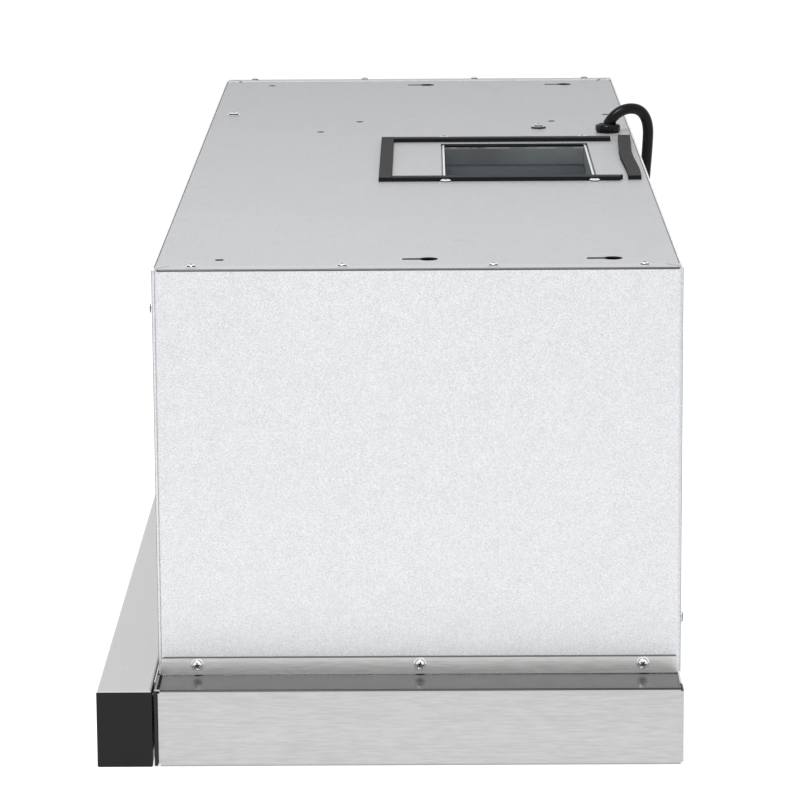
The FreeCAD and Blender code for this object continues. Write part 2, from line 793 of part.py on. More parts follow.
def axis_point(x):
    return V(x, wheel_axis_y, wheel_axis_z)


def round_axis(radius, angle):
    """Y and Z of a point round the wheel's axis, the angle in degrees."""
    return (wheel_axis_y + radius * math.cos(math.radians(angle)),
            wheel_axis_z + radius * math.sin(math.radians(angle)))


def bracket_feet():
    return [round_axis(inlet_radius + inlet_lip + bracket_foot, angle) for angle in bracket_arms]


def make_shaft():
    return rod(shaft_radius, axis_point(shaft_end_x), X_AXIS, motor_outer_x - 3 - shaft_end_x)


def make_rotor():
    return tube(rotor_radius, shaft_radius, axis_point(stator_x0), X_AXIS, stator_length)


def make_stator():
    stack = tube(motor_radius, rotor_radius + run_gap, axis_point(stator_x0), X_AXIS, stator_length)
    slots = []
    for index in range(stator_slots):
        y, z = round_axis(motor_radius + 1, 45 + 360 * index / stator_slots)
        slots.append(rod(stator_slot, V(stator_x0 - 1, y, z), X_AXIS, stator_length + 2))
    return cut_all(stack, slots)


def make_bell(x0, mouth):
    """Cup whose mouth faces the stator: +X for mouth 1, -X for mouth -1."""
    bell = rod(motor_radius - 1, axis_point(x0), X_AXIS, bell_length)
    closed_x = x0 if mouth > 0 else x0 + bell_length
    rim = [edge for edge in bell.Edges if abs(edge.CenterOfMass.x - closed_x) < 1e-6]
    bell = bell.makeFillet(bell_round, rim)
    hollow_x0 = x0 + bell_floor if mouth > 0 else x0 - 1
    bell = bell.cut(rod(motor_radius - 1 - bell_wall, axis_point(hollow_x0), X_AXIS,
                        bell_length + 1 - bell_floor))
    boss_x0 = x0 + 1 if mouth > 0 else x0 + bell_length - 1 - bearing_length
    bell = bell.fuse(rod(bearing_radius + bearing_boss, axis_point(boss_x0), X_AXIS, bearing_length))
    bore_x0 = x0 + bearing_seat if mouth > 0 else x0 + bell_length - bearing_seat - bearing_length
    cutters = [rod(bearing_radius, axis_point(bore_x0), X_AXIS, bearing_length),
               rod(shaft_radius + 1, axis_point(x0 - 1), X_AXIS, bell_length + 2)]
    for index in range(bell_vents):
        y, z = round_axis(motor_radius - bell_vent_inset, 360 * (index + 0.5) / bell_vents)
        cutters.append(rod(bell_vent, V(x0 - 1, y, z), X_AXIS, bell_length + 2))
    return cut_all(bell, cutters)


def make_bells():
    return group([make_bell(bell_inner_x0, 1), make_bell(motor_outer_x - bell_length, -1)])


def make_bearings():
    starts = (bell_inner_x0 + bearing_seat, motor_outer_x - bearing_seat - bearing_length)
    return group([tube(bearing_radius, shaft_radius + bearing_gap, axis_point(start), X_AXIS,
                       bearing_length) for start in starts])


def make_motor_bracket():
    reach = inlet_radius + inlet_lip + 2 * bracket_foot - 1
    hub = rod(motor_radius - bracket_hub_inset, axis_point(motor_outer_x), X_AXIS, bracket_sheet)
    arms = []
    for angle in bracket_arms:
        arm = block(motor_outer_x, motor_outer_x + bracket_sheet, wheel_axis_y, wheel_axis_y + reach,
                    wheel_axis_z - bracket_arm / 2, wheel_axis_z + bracket_arm / 2)
        arm.rotate(axis_point(0), X_AXIS, angle)
        arms.append(arm)
    bracket = fuse_all(hub, *arms)
    holes = [rod(shaft_radius + 2, axis_point(motor_outer_x - 1), X_AXIS, bracket_sheet + 2)]
    for y, z in bracket_feet():
        holes.append(rod(machine_screw[2] + 0.05, V(motor_outer_x - 1, y, z), X_AXIS, bracket_sheet + 2))
    return cut_all(bracket, holes)


def make_capacitor():
    """Oval run capacitor that stands on the left cheek, with its two terminals."""
    x1 = duct_x - scroll_half_x - sheet
    x0 = x1 - capacitor_length
    y = scroll_inner_y1 - capacitor_inset
    z = flange_under - capacitor_drop
    half_y, half_z = capacitor_width / 2, capacitor_thickness / 2
    can = block(x0, x1, y - half_y, y + half_y, z - half_z, z + half_z)
    can = round_edges(can, half_z - 1, X_AXIS)
    pins = [block(x0 - capacitor_pin, x0 + 1, y + side * 8 - 3, y + side * 8 + 3, z - 0.4, z + 0.4)
            for side in (1, -1)]
    return fuse_all(can, *pins)


# ---- power inlet ----
def make_wiring_box():
    low = top_under - wiring_box_depth
    outer = block(wiring_box_left, wiring_box_right, wiring_box_front, wiring_box_back, low, top_under)
    outer = round_edges(outer, fold, Z_AXIS)
    inner = block(wiring_box_left + sheet, wiring_box_right - sheet,
                  wiring_box_front + sheet, wiring_box_back - sheet, low - 1, top_under + 1)
    inner = round_edges(inner, bend, Z_AXIS)
    tabs = []
    for y in (wiring_box_front + lid_tab_inset, wiring_box_back - lid_tab_inset):
        for x0, x1 in ((wiring_box_left + 0.1, wiring_box_left + lid_lap),
                       (wiring_box_right - lid_lap, wiring_box_right - 0.1)):
            tabs.append(block(x0, x1, y - lid_tab / 2, y + lid_tab / 2, low, low + sheet))
    return fuse_all(outer.cut(inner), *tabs)


def make_wiring_lid():
    low = top_under - wiring_box_depth
    front = wiring_box_front - sheet - fit_gap
    back = wiring_box_back + sheet + fit_gap
    return folded([(front, low + lid_lap), (front, low - sheet), (back, low - sheet),
                   (back, low + lid_lap)], sheet, "yz", wiring_box_left, wiring_box_right, fit_gap)


def make_terminal_block():
    x0 = wiring_box_left + sheet
    y0 = wiring_box_front + lid_tab_inset
    z0 = top_under - terminal_height - terminal_drop
    body = block(x0, x0 + terminal_width, y0, y0 + terminal_length, z0, z0 + terminal_height)
    wells = []
    for index in range(terminal_count):
        y = y0 + terminal_length * (index + 0.5) / terminal_count
        wells.append(rod(3.0, V(x0 + terminal_width / 2, y, z0 - 1), Z_AXIS, 7))
        wells.append(rod(2.6, V(x0 + terminal_width + 1, y, z0 + terminal_height / 2),
                         X_AXIS * -1, 9))
    for index in range(1, terminal_count):
        y = y0 + terminal_length * index / terminal_count
        wells.append(block(x0 + terminal_width - 4, x0 + terminal_width + 1, y - 0.8, y + 0.8,
                           z0 - 1, z0 + terminal_height + 1))
    return cut_all(body, wells)


def make_gland():
    cap = rod(gland_radius, V(gland_x, gland_y, top_height), Z_AXIS, gland_height)
    crown = [edge for edge in cap.Edges
             if abs(edge.CenterOfMass.z - top_height - gland_height) < 1e-6]
    cap = cap.makeFillet(2.2, crown)
    ribs = []
    for index in range(16):
        angle = 2 * math.pi * index / 16
        ribs.append(rod(0.55, V(gland_x + gland_radius * math.cos(angle),
                                gland_y + gland_radius * math.sin(angle), top_height + 1.2),
                        Z_AXIS, gland_height - 3.4))
    stem = rod(gland_stem, V(gland_x, gland_y, top_height - gland_stem_length), Z_AXIS,
               gland_stem_length)
    gland = fuse_all(cap, stem, *ribs)
    return gland.cut(rod(cord_diameter / 2, V(gland_x, gland_y, top_height - gland_stem_length - 1),
                         Z_AXIS, gland_stem_length + 2))


def make_gland_nut():
    corners = [(gland_x + nut_radius * math.cos(math.radians(60 * index)),
                gland_y + nut_radius * math.sin(math.radians(60 * index))) for index in range(6)]
    nut = prism(corners, "xy", top_under - nut_height, top_under)
    return nut.cut(rod(gland_stem + 0.02, V(gland_x, gland_y, top_under - nut_height - 1), Z_AXIS,
                       nut_height + 2))


def make_ground_screw():
    """Screw with a toothed washer and a ring terminal under its head."""
    washer_sheet = 0.7
    washer = tube(4.4, machine_screw[2] + 0.05, V(ground_x, ground_y, top_height), Z_AXIS, washer_sheet)
    teeth = []
    for index in range(10):
        tooth = block(-0.3, 1.2, -0.7, 0.7, 0, washer_sheet)
        tooth.rotate(ORIGIN, Y_AXIS, -14)
        tooth.translate(X_AXIS * 4.1)
        tooth.rotate(ORIGIN, Z_AXIS, 36 * index)
        tooth.translate(V(ground_x, ground_y, top_height))
        teeth.append(tooth)
    washer = fuse_all(washer, *teeth)
    washer = washer.cut(block(ground_x - 8, ground_x + 8, ground_y - 8, ground_y + 8,
                              top_height - 2, top_height))
    bolt = placed(screw(machine_screw), V(ground_x, ground_y, top_height + washer_sheet), Z_AXIS)
    return group([washer, bolt])


# ---- gaskets ----
def make_duct_gasket():
    low, high = top_height, top_height + gasket_thickness
    half = gasket_width / 2
    right_x = duct_x + duct_width / 2 + gasket_right_gap
    left_x = duct_x - duct_width / 2 - gasket_left_gap
    front_y = duct_y - duct_depth / 2 - gasket_front_gap
    back_end = half_depth - gasket_inset
    front_edge = front_y + half
    right = block(right_x - half, right_x + half, front_edge, back_end, low, high)
    chamfer = prism([(right_x - half, back_end + 0.1), (right_x + half + 0.1, back_end + 0.1),
                     (right_x + half + 0.1, back_end - 2.6)], "xy", low - 1, high + 1)
    right = right.cut(chamfer)
    left = block(left_x - half, left_x + half, front_edge, back_end, low, high)
    front = block(left_x - half, right_x + half, front_y - half, front_edge, low, high)
    strips = [round_edges(strip, 0.5, X_AXIS if strip is front else Y_AXIS,
                          lambda point: point.z > high - 0.01) for strip in (right, left, front)]
    return group(strips)


def make_rear_gasket():
    """Foam strip laid by hand in a shallow wave behind the duct opening."""
    half = gasket_width / 2
    steps = len(rear_gasket_wave) - 1
    centre = [(duct_x - rear_gasket_aside + rear_gasket_length * (index / steps - 0.5),
               half_depth - rear_gasket_inset + rise)
              for index, rise in enumerate(rear_gasket_wave)]
    upper = [V(x, y + half, top_height) for x, y in centre]
    lower = [V(x, y - half, top_height) for x, y in centre]
    edges = []
    for row in (upper, lower):
        curve = Part.BSplineCurve()
        curve.interpolate(row)
        edges.append(curve.toShape())
    edges.append(Part.LineSegment(upper[0], lower[0]).toShape())
    edges.append(Part.LineSegment(upper[-1], lower[-1]).toShape())
    face = Part.Face(Part.Wire(Part.__sortEdges__(edges)))
    return face.extrude(Z_AXIS * gasket_thickness)


# ---- slides and visor ----
rail_front = wing_front + rail_inset
rail_back = rail_front + rail_length
rail_top = rail_base + rail_height
rail_web_x = half_pan - sheet
rail_open_x = rail_web_x - rail_depth


def channel(web_x, open_x, low, high, y0, y1, thickness, lip=0.0):
    """Channel that lies on its side, web towards +X and open towards -X."""
    parts = [block(web_x - thickness, web_x, y0, y1, low, high),
             block(open_x, web_x, y0, y1, low, low + thickness),
             block(open_x, web_x, y0, y1, high - thickness, high)]
    if lip:
        parts.append(block(open_x, open_x + thickness, y0, y1, low, low + lip))
        parts.append(block(open_x, open_x + thickness, y0, y1, high - lip, high))
    return fuse_all(*parts)


def make_outer_rail():
    return channel(rail_web_x, rail_open_x, rail_base, rail_top, rail_front, rail_back, rail_sheet)


middle_low = rail_base + rail_sheet + run_gap
middle_high = rail_top - rail_sheet - run_gap
middle_web_x = rail_web_x - rail_sheet - run_gap
inner_low = middle_low + rail_sheet + run_gap
inner_high = middle_high - rail_sheet - run_gap
visor_side_x = rail_open_x - run_gap


def make_middle_rail():
    return channel(middle_web_x, rail_open_x + 2.2, middle_low, middle_high,
                   rail_front, rail_back - 2, rail_sheet)


def make_inner_rail():
    """Inner member: its web closes the channel's open side and is fixed to the visor panel."""
    reach = middle_web_x - rail_sheet - run_gap
    web = block(visor_side_x, visor_side_x + rail_sheet, rail_front, rail_back - 2,
                inner_low, inner_high)
    flanges = [block(visor_side_x, reach, rail_front, rail_back - 2, inner_low, inner_low + rail_sheet),
               block(visor_side_x, reach, rail_front, rail_back - 2, inner_high - rail_sheet, inner_high)]
    return fuse_all(web, *flanges)


def make_visor_panel():
    low = visor_panel_height - visor_panel_side
    back = rail_back - 2
    pan = folded([(-visor_side_x, low), (-visor_side_x, visor_panel_height),
                  (visor_side_x, visor_panel_height), (visor_side_x, low)],
                 -sheet, "xz", bar_rear, back)
    lip = block(-visor_side_x + fold, visor_side_x - fold, bar_rear, bar_rear + sheet,
                visor_panel_height - sheet, bar_top - 1)
    rear = block(-visor_side_x + fold, visor_side_x - fold, back - sheet, back,
                 visor_panel_height - 10, visor_panel_height)
    pan = fuse_all(pan, lip, rear)
    slots = []
    pitch_x = 2 * (visor_side_x - slot_margin) / slot_columns
    field_y = (bar_rear + back) / 2 - slot_field_ahead
    for column in range(slot_columns):
        for row in range(slot_rows):
            x = (column - (slot_columns - 1) / 2) * pitch_x
            y = field_y + (row - (slot_rows - 1) / 2) * slot_pitch_y
            straight = (slot_length - slot_width) / 2
            low_z = visor_panel_height - sheet - 1
            slots.append(block(x - straight, x + straight, y - slot_width / 2, y + slot_width / 2,
                               low_z, visor_panel_height + 1))
            for end in (1, -1):
                slots.append(rod(slot_width / 2, V(x + end * straight, y, low_z), Z_AXIS, sheet + 2))
    return cut_all(pan, slots)


def button_places():
    return [control_x + (index - (button_count - 1) / 2) * button_pitch
            for index in range(button_count)]


button_z = bar_lift + bar_height / 2


def button_blank(width, height, y0, y1, x):
    shape = block(x - width / 2, x + width / 2, y0, y1, button_z - height / 2, button_z + height / 2)
    return round_edges(shape, 2.0, Y_AXIS)


def make_bar():
    bar = folded([(bar_rear, bar_lift + bar_lip), (bar_rear, bar_lift), (bar_front, bar_lift),
                  (bar_front, bar_top), (bar_rear, bar_top), (bar_rear, bar_top - bar_lip)],
                 -bar_sheet, "yz", -half_canopy, half_canopy)
    notches = []
    for side in (1, -1):
        x0, x1 = sorted((side * (half_canopy - cap_plate), side * (half_canopy + 1)))
        notches.append(block(x0, x1, bar_front - 1, bar_rear + 1, bar_lift - 1, bar_top - bar_sheet))
    windows = [button_blank(button_width + 2 * run_gap, button_height + 2 * run_gap,
                            bar_front - 1, bar_front + bar_sheet + 1, x) for x in button_places()]
    return cut_all(bar, notches + windows)


def make_end_caps():
    y0, y1 = bar_front + bar_sheet, bar_rear
    z0, z1 = bar_lift + bar_sheet, bar_top - bar_sheet
    face = block(half_canopy - cap_plate, half_canopy, bar_front, y1, bar_lift, z1)
    face = round_edges(face, bend, X_AXIS)
    plug_y1 = y1 - bar_sheet - fit_gap
    plug = block(half_canopy - cap_plate - cap_plug, half_canopy - cap_plate, y0 + fit_gap, plug_y1,
                 z0 + fit_gap, z1 - fit_gap)
    plug = round_edges(plug, bend, X_AXIS)
    hollow = block(half_canopy - cap_plate - cap_plug - 1, half_canopy - cap_plate,
                   y0 + fit_gap + 2, plug_y1 - 2, z0 + fit_gap + 2, z1 - fit_gap - 2)
    cap = face.fuse(plug.cut(hollow))
    return group([cap, mirror_x(cap)])


def make_control_housing():
    """Open-backed moulding behind the bar's face that guides the buttons."""
    half_length = button_pitch * button_count / 2 + 4
    y0 = bar_front + bar_sheet
    z0, z1 = button_z - control_height / 2, button_z + control_height / 2
    housing = block(control_x - half_length, control_x + half_length, y0, y0 + control_depth, z0, z1)
    housing = round_edges(housing, 2.0, Y_AXIS)
    hollow = block(control_x - half_length + 2, control_x + half_length - 2, y0 + 2,
                   y0 + control_depth + 1, z0 + 2, z1 - 2)
    guides = [button_blank(button_width + 2 * run_gap, button_height + 2 * run_gap, y0 - 1, y0 + 3, x)
              for x in button_places()]
    return cut_all(housing, [hollow] + guides)


def make_control_board():
    half_length = button_pitch * button_count / 2 + 1.8
    y1 = bar_front + bar_sheet + control_depth - 2
    board = block(control_x - half_length, control_x + half_length, y1 - board_sheet, y1,
                  button_z - control_height / 2 + 2.2, button_z + control_height / 2 - 2.2)
    switches = [block(x - 3, x + 3, y1 - board_sheet - 3.4, y1 - board_sheet, button_z - 3, button_z + 3)
                for x in button_places()]
    chip = block(control_x + 18, control_x + 30, y1, y1 + 2.4, button_z - 4, button_z + 4)
    return fuse_all(board, chip, *switches)


def make_button(x):
    y_face = bar_front - button_proud
    y_seat = bar_front + bar_sheet + 2 + run_gap
    cap = button_blank(button_width, button_height, y_face, y_seat + 1.5, x)
    face_edges = [edge for edge in cap.Edges if abs(edge.CenterOfMass.y - y_face) < 0.01]
    cap = cap.makeFillet(0.7, face_edges)
    collar = block(x - button_width / 2 - 2, x + button_width / 2 + 2, y_seat, y_seat + 1.5,
                   button_z - button_height / 2 - 2, button_z + button_height / 2 + 2)
    stem_end = bar_front + bar_sheet + control_depth - 2 - board_sheet - 3.4 - button_travel - 0.1
    stem = rod(2.0, V(x, y_seat + 1, button_z), Y_AXIS, stem_end - y_seat - 1)
    return fuse_all(cap, collar, stem)


# ---- visor switch ----
switch_z = rail_base + rail_height * 0.75


def make_visor_switch():
    y0 = rail_back + 4
    body = block(half_pan - sheet - 20, half_pan - sheet, y0, y0 + 11, switch_z - 9, switch_z + 9)
    bore = rod(1.6 + bearing_gap, V(visor_side_x, y0 - 1, switch_z), Y_AXIS, 6)
    lugs = [block(half_pan - sheet - 18 + index * 8, half_pan - sheet - 15 + index * 8,
                  y0 + 10.5, y0 + 15, switch_z - 0.4, switch_z + 0.4) for index in range(2)]
    return fuse_all(body.cut(bore), *lugs)


def make_switch_plunger():
    start = rail_back - 2 + run_gap
    return rod(1.6, V(visor_side_x, start, switch_z), Y_AXIS, rail_back + 4 + 3 - start)


# ---- filters ----
def filter_box():
    inner = filter_strip / 2 + filter_gap
    outer = filter_strip / 2 + filter_opening_x - filter_gap
    low = pan_floor + 0.2
    return inner, outer, filter_front + filter_gap, filter_back - filter_gap, low, low + filter_thickness


def latch_box():
    """Middle and ends of the latch's window in the right filter's front border."""
    x0, x1, y0, y1, z0, z1 = filter_box()
    middle = (x0 + x1) / 2
    pocket_y0 = y0 + latch_inset
    return middle, pocket_y0, pocket_y0 + latch_depth + latch_travel + 2 * run_gap


def make_filter_frame():
    x0, x1, y0, y1, z0, z1 = filter_box()
    frame = block(x0, x1, y0, y1, z0, z1)
    frame = round_edges(frame, 1.5, Z_AXIS)
    window = block(x0 + filter_border, x1 - filter_border, y0 + filter_latch_border, y1 - filter_border,
                   z0 - 1, z1 + 1)
    channel_space = block(x0 + filter_wall, x1 - filter_wall, y0 + filter_wall, y1 - filter_wall,
                          z0 + filter_wall, z1 - filter_wall)
    frame = frame.cut(window).cut(channel_space)
    middle, pocket_y0, pocket_y1 = latch_box()
    pocket = block(middle - latch_width / 2 - run_gap, middle + latch_width / 2 + run_gap,
                   pocket_y0, pocket_y1, z0 - 1, z1 - filter_wall)
    nose_hole = block(middle - latch_nose_width / 2 - run_gap, middle + latch_nose_width / 2 + run_gap,
                      y0 - 1, pocket_y0 + 1, z0 + 2.5 - run_gap, z0 + 2.5 + latch_nose + run_gap)
    tabs = []
    tab_low = pan_floor + sheet + run_gap
    for share in (0.2, 0.8):
        x = x0 + (x1 - x0) * share
        tabs.append(block(x - tab_width / 2, x + tab_width / 2, y1 - 1, y1 + filter_gap + tab_reach,
                          tab_low, tab_low + 1.2))
    return fuse_all(cut_all(frame, [pocket, nose_hole]), *tabs)


def make_filter_mesh():
    """Corrugated expanded-metal mesh, its edges held in the frame's channel."""
    x0, x1, y0, y1, z0, z1 = filter_box()
    start = x0 + filter_border - mesh_lap
    span = x1 - x0 - 2 * (filter_border - mesh_lap)
    waves = int(span / mesh_pitch)
    low, high = z0 + filter_wall, z1 - filter_wall - mesh_sheet
    ridge = [(start + span * index / (2 * waves), high if index % 2 else low)
             for index in range(2 * waves + 1)]
    outline = ridge + [(x, z + mesh_sheet) for x, z in reversed(ridge)]
    return prism(outline, "xz", y0 + filter_latch_border - mesh_lap * 0.5,
                 y1 - filter_border + mesh_lap)


def make_latch():
    x0, x1, y0, y1, z0, z1 = filter_box()
    middle, pocket_y0, pocket_y1 = latch_box()
    slide_y0 = pocket_y0 + run_gap
    slide = block(middle - latch_width / 2, middle + latch_width / 2, slide_y0, slide_y0 + latch_depth,
                  z0 + 0.3, z1 - filter_wall - run_gap)
    ear_low = z0 + filter_wall + run_gap
    ears = block(middle - latch_width / 2 - latch_ear, middle + latch_width / 2 + latch_ear,
                 slide_y0, slide_y0 + latch_depth, ear_low, ear_low + latch_sheet)
    slide = slide.fuse(ears)
    finger = block(middle - latch_width / 2 + 3, middle + latch_width / 2 - 3, slide_y0 + 2.5,
                   slide_y0 + latch_depth - 2, z0, z0 + 5.5)
    slide = slide.cut(round_edges(finger, 2.0, Z_AXIS))
    nose = block(middle - latch_nose_width / 2, middle + latch_nose_width / 2,
                 filter_front + run_gap, slide_y0 + 1, z0 + 2.5, z0 + 2.5 + latch_nose)
    nose = round_edges(nose, 1.2, X_AXIS, lambda point: point.y < filter_front + run_gap + 0.01)
    return fuse_all(slide, nose)


# ---- lamps ----
def make_lamp_housing():
    low = pan_floor - 0.5
    rim = tube(lamp_radius, lamp_lens_radius + fit_gap, V(lamp_x, lamp_y, low), Z_AXIS, 0.5)
    barrel = tube(lamp_radius - 2, lamp_lens_radius + fit_gap, V(lamp_x, lamp_y, low), Z_AXIS, lamp_height)
    lid = rod(lamp_radius - 2, V(lamp_x, lamp_y, low + lamp_height - 2), Z_AXIS, 2)
    seat = tube(lamp_lens_radius + 1, lamp_lens_radius - 1.5, V(lamp_x, lamp_y, low + 3.0), Z_AXIS, 1.0)
    return fuse_all(rim, barrel, lid, seat)


def make_lamp_lens():
    low = pan_floor - 0.3
    return rod(lamp_lens_radius, V(lamp_x, lamp_y, low), Z_AXIS, 2.8)


# ---- power cord ----
coil_x = -half_canopy - coil_aside
coil_y = half_depth - coil_inset
cord_route = [
    (gland_x, gland_y, top_height + 5.4),
    (gland_x - 0.2, half_depth - 12.0, top_height + 11.2),
    (gland_x - 2.4, half_depth - 2.6, top_height + 16.2),
    (gland_x - 7.6, half_depth + 7.6, top_height + 14.4),
    (gland_x - 12.6, half_depth + 13.0, top_height + 4.0),
    (gland_x - 16.4, half_depth + 12.6, top_height - 13.0),
    (gland_x - 21.0, half_depth + 10.6, top_height * 0.85),
    (gland_x - 28.0, half_depth + 11.0, top_height * 0.70),
    (gland_x - 36.0, half_depth + 14.0, top_height * 0.52),
    (gland_x - 45.0, half_depth + 18.2, top_height * 0.32),
    (gland_x - 58.0, half_depth + 21.4, top_height * 0.14),
    (coil_x * 0.395, half_depth + 23.2, 8.6),
    (coil_x * 0.464, half_depth + 23.6, floor_line),
    (coil_x * 0.562, half_depth + 22.2, floor_line),
    (coil_x * 0.676, half_depth + 24.8, floor_line),
    (coil_x * 0.802, half_depth + 22.6, floor_line),
    (coil_x * 0.908, half_depth + 12.0, floor_line),
    (coil_x, coil_y + coil_radius, floor_line)]
tail_route = [
    (coil_x - coil_radius, coil_y, floor_line + 16.0),
    (coil_x - coil_radius - 0.5, coil_y - 18.0, floor_line + 14.8),
    (coil_x - coil_radius, coil_y - 38.0, floor_line + 9.8),
    (coil_x - coil_radius + 2.0, coil_y - 60.0, floor_line + 6.6),
    (coil_x - coil_radius + 4.5, coil_y - 78.0, floor_line + 6.4)]


def corner_arc(before, corner, after):
    """Tangent points, mid point and radius of the arc at a corner of the cord's route."""
    first, second = before - corner, after - corner
    shorter = min(first.Length, second.Length)
    first.normalize()
    second.normalize()
    turn = math.pi - math.acos(max(-1.0, min(1.0, first.dot(second))))
    reach = 0.45 * shorter
    radius = reach / math.tan(turn / 2)
    bisector = first + second
    bisector.normalize()
    depth = radius / math.cos(turn / 2) - radius
    return corner + first * reach, corner + bisector * depth, corner + second * reach, radius


def cord_tube(route, name):
    points = [V(*point) for point in route]
    edges = []
    radii = []
    last = points[0]
    for before, corner, after in zip(points, points[1:], points[2:]):
        start, middle, end, radius = corner_arc(before, corner, after)
        edges.append(Part.LineSegment(last, start).toShape())
        edges.append(Part.Arc(start, middle, end).toShape())
        radii.append(round(radius, 1))
        last = end
    edges.append(Part.LineSegment(last, points[-1]).toShape())
    spine = Part.Wire(edges)
    profile = Part.Wire(Part.makeCircle(cord_radius, points[0], points[1] - points[0]))
    swept = spine.makePipeShell([profile], True, False)
    expected = math.pi * cord_radius ** 2 * spine.Length
    print(name, "radii", radii, "length", round(spine.Length, 1),
          "volume ratio", round(swept.Volume / expected, 4))
    return swept


def make_coil():
    low = 0.1
    height = cord_diameter * math.ceil(coil_turns)
    ring = tube(coil_radius + cord_radius, coil_radius - cord_radius,
                V(coil_x, coil_y, low), Z_AXIS, height)
    rims = [edge for edge in ring.Edges if isinstance(edge.Curve, Part.Circle)
            and not (abs(edge.CenterOfMass.z - low - height / 2) < 1)]
    return ring.makeFillet(cord_radius * 0.6, rims)


def make_plug():
    """Moulded three-pin plug at the end of the tail, pins away from the cord."""
    x, y, z = tail_route[-1]
    low = 0.1
    face = y - plug_length
    body = block(x - plug_width / 2, x + plug_width / 2, face, y, low, low + plug_height)
    body = round_edges(body, plug_round, Y_AXIS)
    neck = Part.makeCone(cord_radius * 2.2, cord_radius + 0.8, plug_neck, V(x, y, z), Y_AXIS)
    blades = [block(x + side * blade_spread - blade_thickness / 2,
                    x + side * blade_spread + blade_thickness / 2,
                    face - blade_reach, face + 1, blade_rise, blade_rise + blade_height)
              for side in (1, -1)]
    earth = rod(earth_radius, V(x, face - earth_reach, earth_rise), Y_AXIS, earth_reach + 1)
    tip = [edge for edge in earth.Edges if abs(edge.CenterOfMass.y - face + earth_reach) < 1e-6]
    earth = earth.makeFillet(earth_radius * 0.6, tip)
    plug = fuse_all(body, neck, earth, *blades)
    return plug.cut(rod(cord_radius, V(x, y + 2, z), Y_AXIS, plug_neck + 2))


# ---- all pieces ----
def make_pieces():
    side_panel = make_side_panel()
    wing = make_canopy_wing()
    middle_rail = make_middle_rail()
    filter_frame = make_filter_frame()
    filter_mesh = make_filter_mesh()
    latch = make_latch()
    lamp_housing = make_lamp_housing()
    lamp_lens = make_lamp_lens()
    screws = [placed(screw(sheet_screw), point, direction)
              for point, direction in side_flange_places() + front_panel_places() + back_panel_places()]
    pieces = {
        "top_panel": make_top_panel(),
        "right_side_panel": side_panel,
        "left_side_panel": mirror_x(side_panel),
        "front_panel": make_front_panel(),
        "back_panel": make_back_panel(),
        "right_canopy_wing": wing,
        "left_canopy_wing": mirror_x(wing),
        "rear_skirt": make_rear_skirt(),
        "underside_panel": make_underside_panel(),
        "visor_bumpers": make_bumpers(),
        "outlet_collar": make_outlet_collar(),
        "blower_scroll": make_scroll_wrap(),
        "blower_right_cheek": make_cheek(1),
        "blower_left_cheek": make_cheek(-1),
        "fan_wheel": make_wheel(),
        "motor_shaft": make_shaft(),
        "motor_rotor": make_rotor(),
        "motor_stator": make_stator(),
        "motor_end_bells": make_bells(),
        "motor_bearings": make_bearings(),
        "motor_bracket": make_motor_bracket(),
        "run_capacitor": make_capacitor(),
        "wiring_box": make_wiring_box(),
        "wiring_box_lid": make_wiring_lid(),
        "terminal_block": make_terminal_block(),
        "cord_gland": make_gland(),
        "gland_nut": make_gland_nut(),
        "ground_screw": make_ground_screw(),
        "duct_gasket": make_duct_gasket(),
        "rear_gasket": make_rear_gasket(),
        "slide_outer_rails": group([make_outer_rail(), mirror_x(make_outer_rail())]),
        "right_slide_middle": middle_rail,
        "left_slide_middle": mirror_x(middle_rail),
        "slide_inner_rails": group([make_inner_rail(), mirror_x(make_inner_rail())]),
        "visor_panel": make_visor_panel(),
        "visor_bar": make_bar(),
        "visor_end_caps": make_end_caps(),
        "control_housing": make_control_housing(),
        "control_board": make_control_board(),
        "visor_switch": make_visor_switch(),
        "switch_plunger": make_switch_plunger(),
        "right_filter_frame": filter_frame,
        "left_filter_frame": mirror_x(filter_frame),
        "right_filter_mesh": filter_mesh,
        "left_filter_mesh": mirror_x(filter_mesh),
        "right_filter_latch": latch,
        "left_filter_latch": mirror_x(latch),
        "lamp_housings": group([lamp_housing, mirror_x(lamp_housing)]),
        "lamp_lenses": group([lamp_lens, mirror_x(lamp_lens)]),
        "panel_screws": group(screws),
        "top_edge_screws": group([placed(screw(edge_screw), point, direction)
                                  for point, direction in top_edge_places()]),
        "blower_screws": group([placed(screw(machine_screw), point, direction)
                                for point, direction in blower_places() + bracket_place()]),
        "power_cord": group([cord_tube(cord_route, "cord"), cord_tube(tail_route, "tail")]),
        "cord_coil": make_coil(),
        "power_plug": make_plug(),
    }
    for index, x in enumerate(button_places()):
        pieces[BUTTON_NAMES[index]] = make_button(x)
    return pieces


footprint_front = bar_front - button_proud
footprint_back = back_face + sheet_screw[1]
to_origin = V(0, -(footprint_front + footprint_back) / 2, 0)

os.makedirs("parts", exist_ok=True)
for name, shape in make_pieces().items():
    shape.translate(to_origin)
    box = shape.BoundBox
    print("%-20s valid %s solids %2d volume %9.0f  x %7.1f %7.1f  y %7.1f %7.1f  z %6.1f %6.1f"
          % (name, shape.isValid(), len(shape.Solids), shape.Volume, box.XMin, box.XMax,
             box.YMin, box.YMax, box.ZMin, box.ZMax))
    shape.exportStep("parts/%s.step" % name)
print("shift along Y", round(to_origin.y, 3))
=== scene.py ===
import math
import bmesh
import bpy
from mathutils import Matrix, Vector


